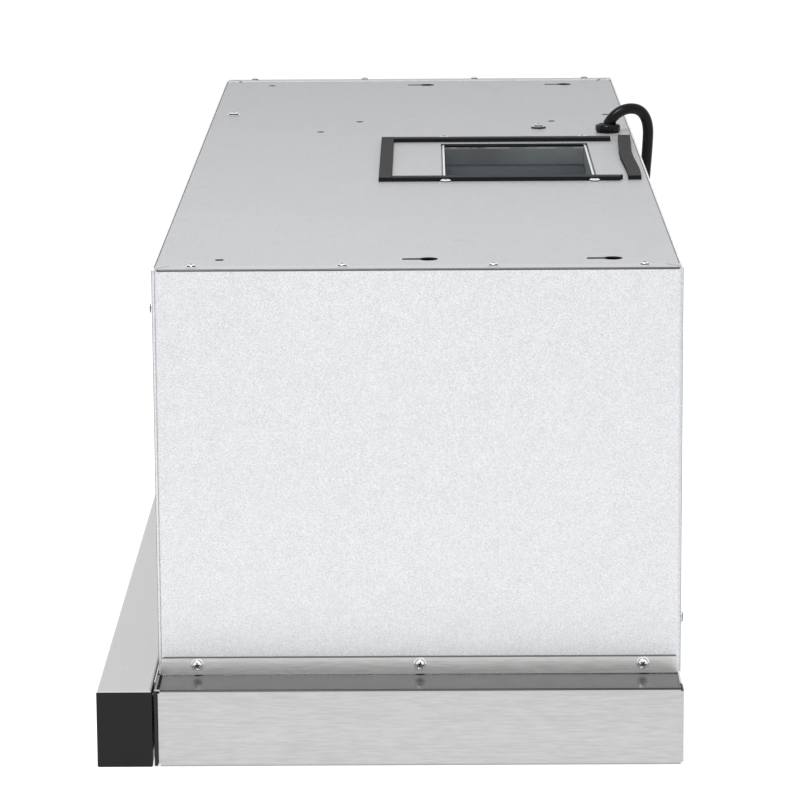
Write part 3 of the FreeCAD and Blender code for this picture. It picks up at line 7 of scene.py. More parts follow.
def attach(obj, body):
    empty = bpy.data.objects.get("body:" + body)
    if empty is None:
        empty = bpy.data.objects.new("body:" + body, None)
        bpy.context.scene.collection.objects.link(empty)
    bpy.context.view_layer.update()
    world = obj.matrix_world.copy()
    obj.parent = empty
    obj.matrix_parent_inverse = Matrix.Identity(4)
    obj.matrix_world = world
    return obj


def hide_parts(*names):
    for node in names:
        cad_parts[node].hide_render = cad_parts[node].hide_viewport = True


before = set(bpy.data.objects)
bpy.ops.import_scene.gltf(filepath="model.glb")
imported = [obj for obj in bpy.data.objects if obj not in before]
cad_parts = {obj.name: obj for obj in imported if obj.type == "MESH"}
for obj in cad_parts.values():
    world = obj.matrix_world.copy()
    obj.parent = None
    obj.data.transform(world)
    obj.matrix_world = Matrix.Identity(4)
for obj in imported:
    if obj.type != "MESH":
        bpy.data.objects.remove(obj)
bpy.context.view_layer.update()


# ---- studio ----
# A pale floor under a white sky, three soft lamps and the camera, which looks along the hood's
# width from its right end and a little above.
scene = bpy.context.scene
scene.view_settings.view_transform = "Standard"

camera_data = bpy.data.cameras.new("camera")
camera_data.lens = 176.93
camera_data.sensor_width = 36.0
camera_data.clip_end = 60.0
camera = bpy.data.objects.new("camera", camera_data)
camera.location = (2.5374, 0.0218, 0.6360)
camera.rotation_euler = (1.367132, 0.006395, 1.576766)
scene.collection.objects.link(camera)
scene.camera = camera

sky_light = 0.55
floor_glow = 0.76

sky = bpy.data.worlds.new("sky")
sky.use_nodes = True
scene.world = sky
sky_nodes = sky.node_tree
sky_shader = sky_nodes.nodes["Background"]


def seen_by_eye(tree):
    """1 for camera, glossy and transmission rays, 0 for the rays that only carry light."""
    path = tree.nodes.new("ShaderNodeLightPath")
    total = path.outputs["Is Camera Ray"]
    for name in ("Is Glossy Ray", "Is Transmission Ray"):
        sum_node = tree.nodes.new("ShaderNodeMath")
        sum_node.operation = "MAXIMUM"
        tree.links.new(total, sum_node.inputs[0])
        tree.links.new(path.outputs[name], sum_node.inputs[1])
        total = sum_node.outputs[0]
    return total


sky_strength = sky_nodes.nodes.new("ShaderNodeMapRange")
sky_strength.inputs["To Min"].default_value = sky_light
sky_strength.inputs["To Max"].default_value = 1.0
sky_nodes.links.new(seen_by_eye(sky_nodes), sky_strength.inputs["Value"])
sky_nodes.links.new(sky_strength.outputs[0], sky_shader.inputs["Strength"])
sky_shader.inputs["Color"].default_value = (1, 1, 1, 1)

floor_mesh = bmesh.new()
bmesh.ops.create_circle(floor_mesh, cap_ends=True, segments=96, radius=9.0)
floor_data = bpy.data.meshes.new("floor")
floor_mesh.to_mesh(floor_data)
floor_mesh.free()
floor = bpy.data.objects.new("floor", floor_data)
floor.location.z = -0.0002
scene.collection.objects.link(floor)
floor_finish = bpy.data.materials.new("pale_floor")
floor_finish.use_nodes = True
floor_nodes = floor_finish.node_tree
floor_shader = floor_nodes.nodes["Principled BSDF"]
floor_shader.inputs["Base Color"].default_value = (0.45, 0.45, 0.45, 1)
floor_shader.inputs["Roughness"].default_value = 0.9
floor_shader.inputs["Emission Color"].default_value = (1, 1, 1, 1)
glow = floor_nodes.nodes.new("ShaderNodeMath")
glow.operation = "MULTIPLY"
glow.inputs[1].default_value = floor_glow
floor_nodes.links.new(seen_by_eye(floor_nodes), glow.inputs[0])
floor_nodes.links.new(glow.outputs[0], floor_shader.inputs["Emission Strength"])
floor_data.materials.append(floor_finish)


def softbox(name, place, target, size, power):
    light = bpy.data.lights.new(name, "AREA")
    light.size = size
    light.energy = power
    lamp = bpy.data.objects.new(name, light)
    lamp.location = place
    lamp.rotation_euler = (Vector(target) - Vector(place)).to_track_quat("-Z", "Y").to_euler()
    scene.collection.objects.link(lamp)


softbox("overhead_softbox", (0.75, -0.15, 1.55), (0.35, 0.0, 0.25), 0.6, 18.0)
softbox("end_softbox", (3.2, 1.3, 1.6), (0.4, 0.0, 0.15), 1.4, 6.0)
softbox("front_softbox", (-0.8, -3.0, 1.5), (0.0, 0.0, 0.15), 1.6, 8.0)


# ---- body sheets ----
# Bright galvanised steel: two folded side panels, the top panel between their laps, and plain
# front and back panels screwed to the side panels' folds. The zinc shows a fine grey grain.
class Tone:
    """A value that changes over a surface. Sums on it add Math nodes."""

    def __init__(self, finish, socket):
        self.finish = finish
        self.socket = socket

    def maths(self, operation, *terms):
        inputs = {index: term for index, term in enumerate(terms)}
        return self.finish.node("ShaderNodeMath", {"operation": operation}, inputs)

    def __add__(self, other):
        return self.maths("ADD", self, other)

    def __radd__(self, other):
        return self.maths("ADD", other, self)

    def __sub__(self, other):
        return self.maths("SUBTRACT", self, other)

    def __rsub__(self, other):
        return self.maths("SUBTRACT", other, self)

    def __mul__(self, other):
        return self.maths("MULTIPLY", self, other)

    def __rmul__(self, other):
        return self.maths("MULTIPLY", other, self)

    def absolute(self):
        return self.maths("ABSOLUTE", self)

    def sine(self):
        return self.maths("SINE", self)

    def smaller(self, other):
        return self.maths("MINIMUM", self, other)

    def between(self, low, high):
        """0 below low, 1 above high and a smooth step in between."""
        return self.finish.node("ShaderNodeMapRange", {"interpolation_type": "SMOOTHSTEP"},
                                {"Value": self, "From Min": low, "From Max": high})


class Finish:
    """A material: one Principled shader, and the nodes that feed it."""

    def __init__(self, name, colour, roughness, **settings):
        self.material = bpy.data.materials.new(name)
        self.material.use_nodes = True
        self.tree = self.material.node_tree
        self.shader = self.tree.nodes["Principled BSDF"]
        self.colour = tuple(colour) + (1.0,)
        self.put(Base_Color=self.colour, Roughness=roughness, **settings)

    def put(self, **inputs):
        for name, value in inputs.items():
            self.feed(self.shader.inputs[name.replace("_", " ")], value)

    def feed(self, socket, value):
        if isinstance(value, Tone):
            self.tree.links.new(value.socket, socket)
        else:
            socket.default_value = value

    def node(self, kind, settings=None, inputs=None, output=0):
        made = self.tree.nodes.new(kind)
        for name, value in (settings or {}).items():
            setattr(made, name, value)
        for name, value in (inputs or {}).items():
            self.feed(made.inputs[name], value)
        return Tone(self, made.outputs[output])

    def place(self, scale=(1, 1, 1)):
        """Object coordinates, stretched along their axes."""
        where = self.node("ShaderNodeTexCoord", output="Object")
        return self.node("ShaderNodeMapping", None, {"Vector": where, "Scale": scale})

    def axis(self, name):
        return self.node("ShaderNodeSeparateXYZ", None, {"Vector": self.place()}, name)

    def facing(self, name):
        """How far the surface faces along an axis of the object, from -1 to 1."""
        normal = self.node("ShaderNodeNewGeometry", output="Normal")
        return self.node("ShaderNodeSeparateXYZ", None, {"Vector": normal}, name)

    def noise(self, scale, stretch=(1, 1, 1), detail=2.0, roughness=0.5):
        return self.node("ShaderNodeTexNoise", None,
                         {"Vector": self.place(stretch), "Scale": scale,
                          "Detail": detail, "Roughness": roughness})

    def cells(self, scale, output="Color"):
        return self.node("ShaderNodeTexVoronoi", None, {"Vector": self.place(), "Scale": scale},
                         output)

    def grey(self, colour):
        return self.node("ShaderNodeRGBToBW", None, {"Color": colour})

    def blend(self, factor, first, second):
        """From the first colour to the second as the factor goes from 0 to 1."""
        return self.node("ShaderNodeMix", {"data_type": "RGBA"},
                         {0: factor, 6: first, 7: second}, 2)

    def shade(self, factor, low, high):
        """The finish's colour, from low to high times its brightness."""
        dark = tuple(part * low for part in self.colour[:3]) + (1.0,)
        light = tuple(min(part * high, 1.0) for part in self.colour[:3]) + (1.0,)
        return self.blend(factor, dark, light)

    def relief(self, height, depth):
        """Bump whose full height is depth, in metres."""
        normal = self.node("ShaderNodeBump", None,
                           {"Height": height, "Distance": depth, "Strength": 1.0})
        self.feed(self.shader.inputs["Normal"], normal)

    def cover(self, *nodes):
        """Gives this finish to CAD nodes."""
        for name in nodes:
            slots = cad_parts[name].data.materials
            for index in range(len(slots)):
                slots[index] = self.material
            if not slots:
                slots.append(self.material)


def galvanised(name, colour, roughness, contrast, cell=170.0, metal=0.85):
    """Zinc-coated sheet: faint crystals under a fine cloudy mottle, and a few rubbed marks."""
    zinc = Finish(name, colour, roughness, Metallic=metal, Specular_IOR_Level=0.15)
    crystals = zinc.grey(zinc.cells(cell))
    mottle = zinc.noise(1500.0, (1, 0.75, 1), detail=2.0, roughness=0.6).between(0.36, 0.64)
    grain = zinc.noise(2400.0, detail=1.0).between(0.36, 0.64)
    cloud = zinc.noise(7.0, detail=2.0)
    rubbed = zinc.noise(36.0, (1, 1, 0.12), detail=5.0, roughness=0.7).between(0.63, 0.72)
    tone = crystals * 0.07 + mottle * 0.25 + grain * 0.6 + cloud * 0.08
    zinc.sheet = zinc.shade(tone - rubbed * 0.06, 1 - contrast, 1 + contrast)
    zinc.put(Base_Color=zinc.sheet, Roughness=roughness - 0.09 + 0.14 * tone + 0.05 * rubbed)
    zinc.relief(mottle * 0.5 + grain * 0.2 + crystals * 0.3, 0.00003)
    return zinc


# Along the top each side panel folds inwards. The fold carries a painted highlight line with a
# dark line of painted shade below it, and the lap takes the top panel's darker colour, also
# painted shade.
side_zinc = galvanised("side_sheet_zinc", (0.765, 0.775, 0.795), 0.44, 0.26, metal=0.6)
near_top = side_zinc.axis("Z").between(0.2688, 0.2694)
facing_up = side_zinc.facing("Z")
# Painted shade: a dark line round the fold, with a painted highlight line above it and painted shade on
# the lap.
fold_painted_shade = near_top * facing_up.between(0.10, 0.20)
fold_painted_highlight = near_top * facing_up.between(0.84, 0.90)
lap_face = near_top * facing_up.between(0.97, 0.99)
side_colour = side_zinc.blend(fold_painted_shade, side_zinc.sheet, (0.075, 0.077, 0.08, 1))
side_colour = side_zinc.blend(fold_painted_highlight, side_colour, (0.50, 0.505, 0.51, 1))
side_zinc.put(Base_Color=side_zinc.blend(lap_face, side_colour, (0.46, 0.465, 0.47, 1)))
side_zinc.cover("right_side_panel", "left_side_panel")

end_zinc = galvanised("end_sheet_zinc", (0.765, 0.775, 0.795), 0.44, 0.26, metal=0.6)
end_depth = end_zinc.axis("Y")
outer_face = 1 - end_depth.between(-0.1289, -0.1286) + end_depth.between(0.1612, 0.1614)
sheared_edge = outer_face * end_zinc.facing("X").absolute().between(0.3, 0.5)
end_zinc.put(Base_Color=end_zinc.blend(sheared_edge, end_zinc.sheet, (0.20, 0.205, 0.21, 1)))
end_zinc.cover("front_panel", "back_panel")

# The top panel is the same zinc as the sides, given a far darker colour: painted shade.
top_zinc = galvanised("top_sheet_zinc", (0.405, 0.411, 0.423), 0.46, 0.36, metal=0.35)
top_depth = top_zinc.axis("Y")
inside_folds = top_depth.between(-0.1262, -0.1258) * (1 - top_depth.between(0.1588, 0.1590))
# The cut faces round the duct opening are painted near black: painted shade.
punched_edge_shade = inside_folds * (1 - top_zinc.facing("Z").absolute().between(0.3, 0.6))
top_zinc.put(Base_Color=top_zinc.blend(punched_edge_shade, top_zinc.sheet, (0.03, 0.03, 0.031, 1)))
top_zinc.cover("top_panel")


# ---- sheet-metal screws ----
# Zinc-plated pan heads with a cross recess: ten small ones in the body's sides, eight along the
# top's laps, four larger ones that carry the blower and one for the bracket under the top.
def turned(profile, steps=32):
    """A shape turned round Z from (radius, height) points."""
    shape = bmesh.new()
    points = [shape.verts.new((radius, 0, height)) for radius, height in profile]
    edges = [shape.edges.new(pair) for pair in zip(points, points[1:])]
    bmesh.ops.spin(shape, geom=points + edges, cent=(0, 0, 0), axis=(0, 0, 1), dvec=(0, 0, 0),
                   angle=2 * math.pi, steps=steps, use_merge=True)
    bmesh.ops.remove_doubles(shape, verts=shape.verts, dist=1e-6)
    bmesh.ops.recalc_face_normals(shape, faces=shape.faces)
    return shape


def slab(low, high, bevel=0.0, segments=2):
    """A block between two corners, with its edges rounded."""
    shape = bmesh.new()
    size = Vector(high) - Vector(low)
    bmesh.ops.create_cube(shape, size=1.0)
    bmesh.ops.scale(shape, vec=size, verts=shape.verts)
    bmesh.ops.translate(shape, vec=Vector(low) + size / 2, verts=shape.verts)
    if bevel:
        bmesh.ops.bevel(shape, geom=shape.edges[:], offset=bevel, segments=segments,
                        affect="EDGES", profile=0.5, material=-1)
    return shape


def copies(shape, places):
    """One mesh with a copy of the shape at each place."""
    pattern = bpy.data.meshes.new("pattern")
    shape.to_mesh(pattern)
    shape.free()
    whole = bmesh.new()
    for place in places:
        first = len(whole.verts)
        whole.from_mesh(pattern)
        whole.verts.ensure_lookup_table()
        bmesh.ops.transform(whole, matrix=place, verts=whole.verts[first:])
    bpy.data.meshes.remove(pattern)
    return whole


def joined(*shapes):
    whole = bmesh.new()
    for shape in shapes:
        scrap = bpy.data.meshes.new("scrap")
        shape.to_mesh(scrap)
        shape.free()
        whole.from_mesh(scrap)
        bpy.data.meshes.remove(scrap)
    return whole


def as_object(name, shape):
    data = bpy.data.meshes.new(name)
    shape.to_mesh(data)
    shape.free()
    made = bpy.data.objects.new(name, data)
    scene.collection.objects.link(made)
    return made


def carved(shape, *tools):
    """The shape with the tools' shapes cut out of it."""
    blank = as_object("blank", shape)
    cutters = [as_object("cutter", tool) for tool in tools]
    for cutter in cutters:
        cut = blank.modifiers.new("cut", "BOOLEAN")
        cut.operation = "DIFFERENCE"
        cut.object = cutter
    scene_state = bpy.context.evaluated_depsgraph_get()
    result = bpy.data.meshes.new_from_object(blank.evaluated_get(scene_state))
    cut_shape = bmesh.new()
    cut_shape.from_mesh(result)
    for scrap in [blank] + cutters:
        data = scrap.data
        bpy.data.objects.remove(scrap)
        bpy.data.meshes.remove(data)
    bpy.data.meshes.remove(result)
    return cut_shape


def piece(name, shape, finishes, body, slot, *nodes, crease=35.0):
    """A finished piece that rides on a body and may stand for CAD nodes."""
    made = as_object(name, shape)
    for finish in finishes if isinstance(finishes, list) else [finishes]:
        made.data.materials.append(finish.material)
    made.data.shade_smooth()
    made.data.set_sharp_from_angle(angle=math.radians(crease))
    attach(made, body)
    if nodes:
        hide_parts(*nodes)
    return made


def pan_head_screw(head_radius, head_height, shank_radius, shank_length):
    """A screw with a rolled washer, its head on Z = 0. Its recess and the step between washer
    and dome take the second finish, near black as painted shade."""
    rim = 0.30 * head_height
    wall = 0.74 * head_radius
    screw = turned([(0, head_height), (0.34 * head_radius, 0.985 * head_height),
                    (0.54 * head_radius, 0.9 * head_height), (0.68 * head_radius, 0.72 * head_height),
                    (wall, 0.62 * head_height), (wall, 0.9 * rim), (0.8 * head_radius, rim),
                    (0.95 * head_radius, rim), (head_radius, 0.8 * rim),
                    (head_radius, 0.05 * head_height), (0.97 * head_radius, 0), (shank_radius, 0),
                    (shank_radius, -shank_length + shank_radius), (0, -shank_length)], 36)
    arm, width, depth = 0.5 * head_radius, 0.15 * head_radius, 0.6 * head_height
    tools = []
    for turn in (0, 90):
        tool = slab((-arm, -width, head_height - depth), (arm, width, head_height + 0.001))
        bmesh.ops.scale(tool, vec=(0.62, 0.6, 1), verts=[v for v in tool.verts if v.co.z < head_height])
        bmesh.ops.rotate(tool, cent=(0, 0, 0), matrix=Matrix.Rotation(math.radians(turn), 3, "Z"),
                         verts=tool.verts)
        tools.append(tool)
    screw = carved(screw, *tools)
    for face in screw.faces:
        middle = face.calc_center_median()
        radius = math.hypot(middle.x, middle.y)
        inside = radius < arm and middle.z > head_height - depth - 1e-6
        step = abs(face.normal.z) < 0.3 and wall * 0.97 < radius < wall * 1.03 and middle.z > 0
        if step or (inside and (face.normal.z < 0.9 or middle.z < head_height - 0.5 * depth)):
            face.material_index = 1
    return screw


def on_surface(places, direction, first_turn=20.0):
    """Places for screws whose heads look along a direction, each turned as it was left."""
    facing = Vector(direction).to_track_quat("Z", "Y").to_matrix().to_4x4()
    return [Matrix.Translation(place) @ facing
            @ Matrix.Rotation(math.radians(first_turn + 67 * index), 4, "Z")
            for index, place in enumerate(places)]


bright_zinc = Finish("bright_zinc", (0.86, 0.865, 0.87), 0.2, Metallic=1.0)
plating = bright_zinc.noise(1500.0, detail=2.0)
bright_zinc.put(Base_Color=bright_zinc.shade(plating, 0.84, 1.06), Roughness=0.15 + 0.14 * plating)
bright_zinc.relief(plating, 0.00001)
# The second finish is near black: painted shade in the cross recess and the step under the dome. The
# ground screw's washer and ring terminal take it too.
recess_shade_and_dark_zinc = Finish("recess_shade_and_dark_zinc", (0.045, 0.045, 0.048), 0.5, Metallic=0.6)
recess_shade_mottle = recess_shade_and_dark_zinc.noise(2500.0)
recess_shade_and_dark_zinc.put(Base_Color=recess_shade_and_dark_zinc.shade(recess_shade_mottle, 0.6, 1.5), Roughness=0.4 + 0.2 * recess_shade_mottle)

side_screw_height = 0.04953
side_screw_pitch = 0.124
body_middle = 0.0166
panel_screw_places = []
for side in (1, -1):
    row = [(side * 0.4238, body_middle + step * side_screw_pitch, side_screw_height)
           for step in (-1, 0, 1)]
    panel_screw_places += on_surface(row, (side, 0, 0), 8.0)
panel_screw_places += on_surface([(0.417, -0.1291, 0.2504), (-0.417, -0.1291, 0.2504)], (0, -1, 0))
panel_screw_places += on_surface([(0.417, 0.1616, 0.0740), (-0.417, 0.1616, 0.0740)], (0, 1, 0))
piece("panel_screw_heads", copies(pan_head_screw(0.0035, 0.0019, 0.0016, 0.007), panel_screw_places),
      [bright_zinc, recess_shade_and_dark_zinc], "housing", "screw_zinc", "panel_screws")

top_face = 0.272
lap_face_height = top_face + 0.0008
lap_screw_pitch = 0.0827
lap_screw_places = [(side * 0.417, body_middle + step * lap_screw_pitch, lap_face_height)
                    for side in (1, -1) for step in (-1.5, -0.5, 0.5, 1.5)]
piece("lap_screw_heads", copies(pan_head_screw(0.0033, 0.0018, 0.0016, 0.007),
                                on_surface(lap_screw_places, (0, 0, 1), 5.0)),
      [bright_zinc, recess_shade_and_dark_zinc], "housing", "screw_zinc", "top_edge_screws")

duct_middle = Vector((0.0055, 0.0800, top_face))
carrying_places = [duct_middle + Vector((side * 0.099, end * 0.04655, 0))
                   for side in (1, -1) for end in (1, -1)]
carrying_places.append(Vector((-0.222, -0.1144, top_face)))
piece("blower_screw_heads", copies(pan_head_screw(0.0046, 0.0023, 0.002, 0.008),
                                   on_surface(carrying_places, (0, 0, 1), 30.0)),
      [bright_zinc, recess_shade_and_dark_zinc], "housing", "screw_zinc", "blower_screws")


# ---- canopy ----
# Stainless steel brushed along its length: two folded wings with a skirt, a ledge and a flange
# up the body's side, the skirt behind, and the panel underneath that carries filters and lamps.
def brushed(name, colour, roughness, grain, contrast=0.05):
    """Stainless sheet with its grain along one axis of the hood. Gives its tone too."""
    steel = Finish(name, colour, roughness, Metallic=1.0)
    stretch = tuple(0.006 if axis == grain else 1.0 for axis in "XYZ")
    lines = steel.noise(2300.0, stretch, detail=3.0, roughness=0.7)
    short = tuple(0.08 if axis == grain else 1.0 for axis in "XYZ")
    strokes = steel.noise(1100.0, short, detail=3.0, roughness=0.6).between(0.3, 0.7)
    bands = steel.noise(190.0, stretch, detail=3.0)
    smears = steel.noise(11.0, detail=3.0)
    tone = lines * 0.25 + strokes * 0.4 + bands * 0.2 + smears * 0.15
    steel.put(Base_Color=steel.shade(tone, 1 - contrast, 1 + contrast),
              Roughness=roughness - 0.09 + 0.15 * tone + 0.04 * smears)
    steel.relief(lines, 0.000012)
    return steel, tone


wing_steel, wing_tone = brushed("wing_steel", (0.444, 0.444, 0.445), 0.31, "Y", 0.2)
wing_height = wing_steel.axis("Z")
wing_facing_up = wing_steel.facing("Z")

# The skirt: a painted highlight line and a dark line of painted shade round the fold at its top, a bright
# hem and its cut edge.
at_fold = wing_height.between(0.0405, 0.0412)
skirt_fold_painted_highlight = wing_facing_up.between(0.04, 0.1) * at_fold
skirt_fold_painted_shade = wing_facing_up.between(0.42, 0.52) * at_fold
hem = 1 - wing_height.between(0.0012, 0.0022)
cut_edge = 1 - wing_height.between(0.0004, 0.0007)
skirt_colour = wing_steel.shade(wing_tone, 0.82, 1.22)
skirt_colour = wing_steel.blend(skirt_fold_painted_highlight, skirt_colour, (0.47, 0.47, 0.472, 1))
skirt_colour = wing_steel.blend(skirt_fold_painted_shade, skirt_colour, (0.025, 0.025, 0.0255, 1))
skirt_colour = wing_steel.blend(hem * 0.5, skirt_colour, (0.42, 0.42, 0.43, 1))
skirt_colour = wing_steel.blend(cut_edge, skirt_colour, (0.14, 0.14, 0.142, 1))

# The flange up the body's side: duller at its cut top edge, and painted shade in the bend from the ledge,
# a grey band above a dark line.
on_flange = wing_height.between(0.0436, 0.0442)
flange_edge = wing_height.between(0.0530, 0.0533)
at_foot = 1 - wing_height.between(0.0460, 0.0466)
flange_colour = wing_steel.blend(wing_tone, (0.58, 0.575, 0.57, 1), (0.86, 0.855, 0.85, 1))
flange_colour = wing_steel.blend(flange_edge, flange_colour, (0.16, 0.16, 0.16, 1))
# Painted shade in the bend: grey near the flange, near black towards the ledge.
flange_foot_shade = wing_facing_up.between(0.06, 0.12) * at_foot
flange_colour = wing_steel.blend(flange_foot_shade, flange_colour, (0.34, 0.34, 0.34, 1))
foot_painted_shade = wing_facing_up.between(0.4, 0.55) * at_foot
flange_colour = wing_steel.blend(foot_painted_shade, flange_colour, (0.045, 0.045, 0.045, 1))
upright_colour = wing_steel.blend(on_flange, skirt_colour, flange_colour)

# The smoother ledge, darkened as painted shade and reflection, with painted shade ahead of the body:
# a near-black strip where it meets the body's front and a grey tip beyond it.
on_ledge = wing_facing_up.between(0.96, 0.985) * wing_height.between(0.0425, 0.0432)
wing_depth = wing_steel.axis("Y")
inside_corner = 1 - wing_steel.axis("X").absolute().between(0.4520, 0.4528)
nose_tip_shade = 1 - wing_depth.between(-0.1286, -0.1283)
nose_shade_strip = inside_corner * (1 - wing_depth.between(-0.1269, -0.1266))
# The ledge's dark colour is painted shade and reflection, not the steel's own colour.
ledge_colour = wing_steel.blend(wing_tone, (0.08, 0.087, 0.084, 1), (0.155, 0.162, 0.158, 1))
ledge_colour = wing_steel.blend(nose_shade_strip, ledge_colour, (0.012, 0.012, 0.012, 1))
ledge_colour = wing_steel.blend(nose_tip_shade, ledge_colour, (0.26, 0.26, 0.265, 1))
wing_steel.put(Base_Color=wing_steel.blend(on_ledge, upright_colour, ledge_colour),
               Roughness=0.3 - 0.12 * on_ledge + 0.06 * wing_tone + 0.7 * on_ledge * nose_shade_strip)
wing_steel.cover("right_canopy_wing", "left_canopy_wing")

long_steel = brushed("long_brushed_steel", (0.60, 0.60, 0.602), 0.31, "X", 0.08)[0]
long_steel.cover("rear_skirt", "underside_panel")


# ---- duct collar and blower ----
# Dull galvanised sheet: the collar under the top's opening, the scroll wrapped round the wheel
# between two pressed cheeks, and the wheel with its forward-curved blades. The collar and scroll
# are darker than the dull zinc alone: partly painted shade inside the duct and body.
collar_zinc = galvanised("collar_zinc", (0.29, 0.315, 0.33), 0.36, 0.28, 120.0)
collar_height = collar_zinc.axis("Z")
end_wall = collar_zinc.facing("X").between(0.3, 0.6)
level_face = collar_zinc.facing("Z").between(0.5, 0.8)
collar_cloud = collar_zinc.noise(26.0, detail=4.0)
# Lighter towards the back of the opening: painted light.
collar_tone = collar_cloud * 0.6 + collar_zinc.axis("Y").between(0.02, 0.14) * 0.4
collar_colour = collar_zinc.shade(collar_tone, 0.55, 1.5)
# On the end wall that faces +X: a light wavy line below the rim, above it a near-black band of painted
# shadow under the top sheet's edge; the rim's top edge gets a painted highlight.
wavy_line_noise = collar_zinc.noise(90.0, detail=3.0).between(0.3, 0.62)
light_wavy_line = collar_height.between(0.2686, 0.2692) * end_wall
collar_colour = collar_zinc.blend(light_wavy_line * wavy_line_noise, collar_colour, (0.66, 0.67, 0.67, 1))
shadow_below_rim = collar_height.between(0.2699, 0.2701) * end_wall
collar_colour = collar_zinc.blend(shadow_below_rim, collar_colour, (0.02, 0.02, 0.021, 1))
rim_highlight = level_face * collar_height.between(0.2709, 0.2710)
collar_colour = collar_zinc.blend(rim_highlight, collar_colour, (0.74, 0.75, 0.75, 1))

# The flange that lies against the top panel gets a bright painted highlight beside the walls and
# near-black painted shade outside.
from_middle = (collar_zinc.axis("Y") - duct_middle.y).absolute()
flange_strip_highlight = from_middle.between(0.0463, 0.0465) * (1 - from_middle.between(0.0477, 0.0479))
collar_flange = collar_zinc.blend(flange_strip_highlight, (0.03, 0.03, 0.031, 1), (0.80, 0.81, 0.81, 1))
flange_face = level_face * collar_height.between(0.27114, 0.27117)
collar_zinc.put(Base_Color=collar_zinc.blend(flange_face, collar_colour, collar_flange))
collar_zinc.cover("outlet_collar")
# The scroll is darkened like the collar: partly dull zinc, partly painted shade inside the body.
blower_zinc = galvanised("blower_zinc", (0.28, 0.305, 0.32), 0.38, 0.12, 120.0)
blower_zinc.cover("blower_scroll", "blower_right_cheek", "blower_left_cheek")
wheel_zinc = galvanised("wheel_zinc", (0.50, 0.51, 0.51), 0.36, 0.1, 260.0)
wheel_zinc.cover("fan_wheel")


# ---- motor ----
# A split-capacitor motor: varnished laminations between two die-cast bells, bronze bearings,
# a ground shaft, a zinc-plated spider bracket and a pale plastic capacitor on the left cheek.
laminations = Finish("varnished_laminations", (0.13, 0.135, 0.15), 0.42, Metallic=0.7)
sheet_edge = laminations.noise(1.0, (2200.0, 4.0, 4.0), detail=0.0)
varnish = laminations.noise(160.0, detail=3.0)
laminations.put(Base_Color=laminations.shade(sheet_edge * 0.7 + varnish * 0.3, 0.6, 1.5),
                Roughness=0.32 + 0.2 * varnish)
laminations.relief(sheet_edge, 0.00012)
laminations.cover("motor_stator", "motor_rotor")
cast_alloy = Finish("die_cast_alloy", (0.55, 0.56, 0.57), 0.5, Metallic=0.9)
casting = cast_alloy.noise(420.0, detail=4.0, roughness=0.65)
flow = cast_alloy.noise(30.0, detail=3.0)
cast_alloy.put(Base_Color=cast_alloy.shade(casting * 0.6 + flow * 0.4, 0.82, 1.12),
               Roughness=0.42 + 0.16 * casting)
cast_alloy.relief(casting, 0.00008)
cast_alloy.cover("motor_end_bells")
bronze = Finish("sintered_bronze", (0.50, 0.33, 0.15), 0.4, Metallic=1.0)
pores = bronze.noise(3200.0, detail=2.0)
bronze.put(Base_Color=bronze.shade(pores, 0.7, 1.15), Roughness=0.3 + 0.25 * pores)
bronze.relief(pores, 0.00002)
bronze.cover("motor_bearings")
ground_steel = Finish("ground_shaft_steel", (0.62, 0.625, 0.63), 0.2, Metallic=1.0)
grinding = ground_steel.noise(1.0, (5200.0, 40.0, 40.0), detail=1.0)
ground_steel.put(Base_Color=ground_steel.shade(grinding, 0.85, 1.08), Roughness=0.14 + 0.14 * grinding)
ground_steel.relief(grinding, 0.000008)
ground_steel.cover("motor_shaft")
plated_steel = Finish("zinc_plated_steel", (0.64, 0.65, 0.66), 0.3, Metallic=1.0)
bloom = plated_steel.noise(70.0, detail=5.0, roughness=0.65)
speck = plated_steel.noise(1800.0)
plated_steel.put(Base_Color=plated_steel.shade(bloom * 0.6 + speck * 0.4, 0.84, 1.1),
                 Roughness=0.22 + 0.18 * bloom)
plated_steel.relief(speck, 0.00001)
plated_steel.cover("motor_bracket", "slide_outer_rails", "right_slide_middle", "left_slide_middle",
                   "slide_inner_rails")
can_plastic = Finish("capacitor_plastic", (0.74, 0.74, 0.71), 0.45)
moulding = can_plastic.noise(900.0, detail=3.0)
terminal_tag = can_plastic.axis("X").between(-0.0996, -0.0994)
can_plastic.put(Base_Color=can_plastic.blend(terminal_tag, (0.56, 0.55, 0.48, 1),
                                             can_plastic.shade(moulding, 0.94, 1.05)),
                Metallic=1 - terminal_tag, Roughness=0.38 + 0.14 * moulding)
can_plastic.relief(moulding, 0.00002)
can_plastic.cover("run_capacitor")


# ---- foam strips ----
# Closed-cell foam tape, charcoal, laid by hand round the duct opening and behind it. Its cut
# cells show as small pits, and handling leaves lighter scuffs.
foam = Finish("foam_tape", (0.031, 0.031, 0.032), 0.85, Specular_IOR_Level=0.15)
pits = foam.cells(900.0, output="Distance")
tape_cloud = foam.noise(60.0, detail=4.0, roughness=0.6)
scuffs = foam.noise(140.0, (1, 1, 0.2), detail=4.0, roughness=0.7).between(0.6, 0.75)
cut_side = 1 - foam.facing("Z").between(0.5, 0.9)
foam_top = foam.shade(tape_cloud * 0.6 + pits * 0.6, 0.62, 1.32)
foam_top = foam.blend(scuffs * 0.35, foam_top, (0.075, 0.075, 0.077, 1))
foam.put(Base_Color=foam.blend(cut_side, foam_top, (0.009, 0.009, 0.0095, 1)),
         Roughness=0.78 + 0.16 * tape_cloud)
foam.relief(pits * 0.7 + tape_cloud * 0.3, 0.00025)
foam.cover("duct_gasket", "rear_gasket")


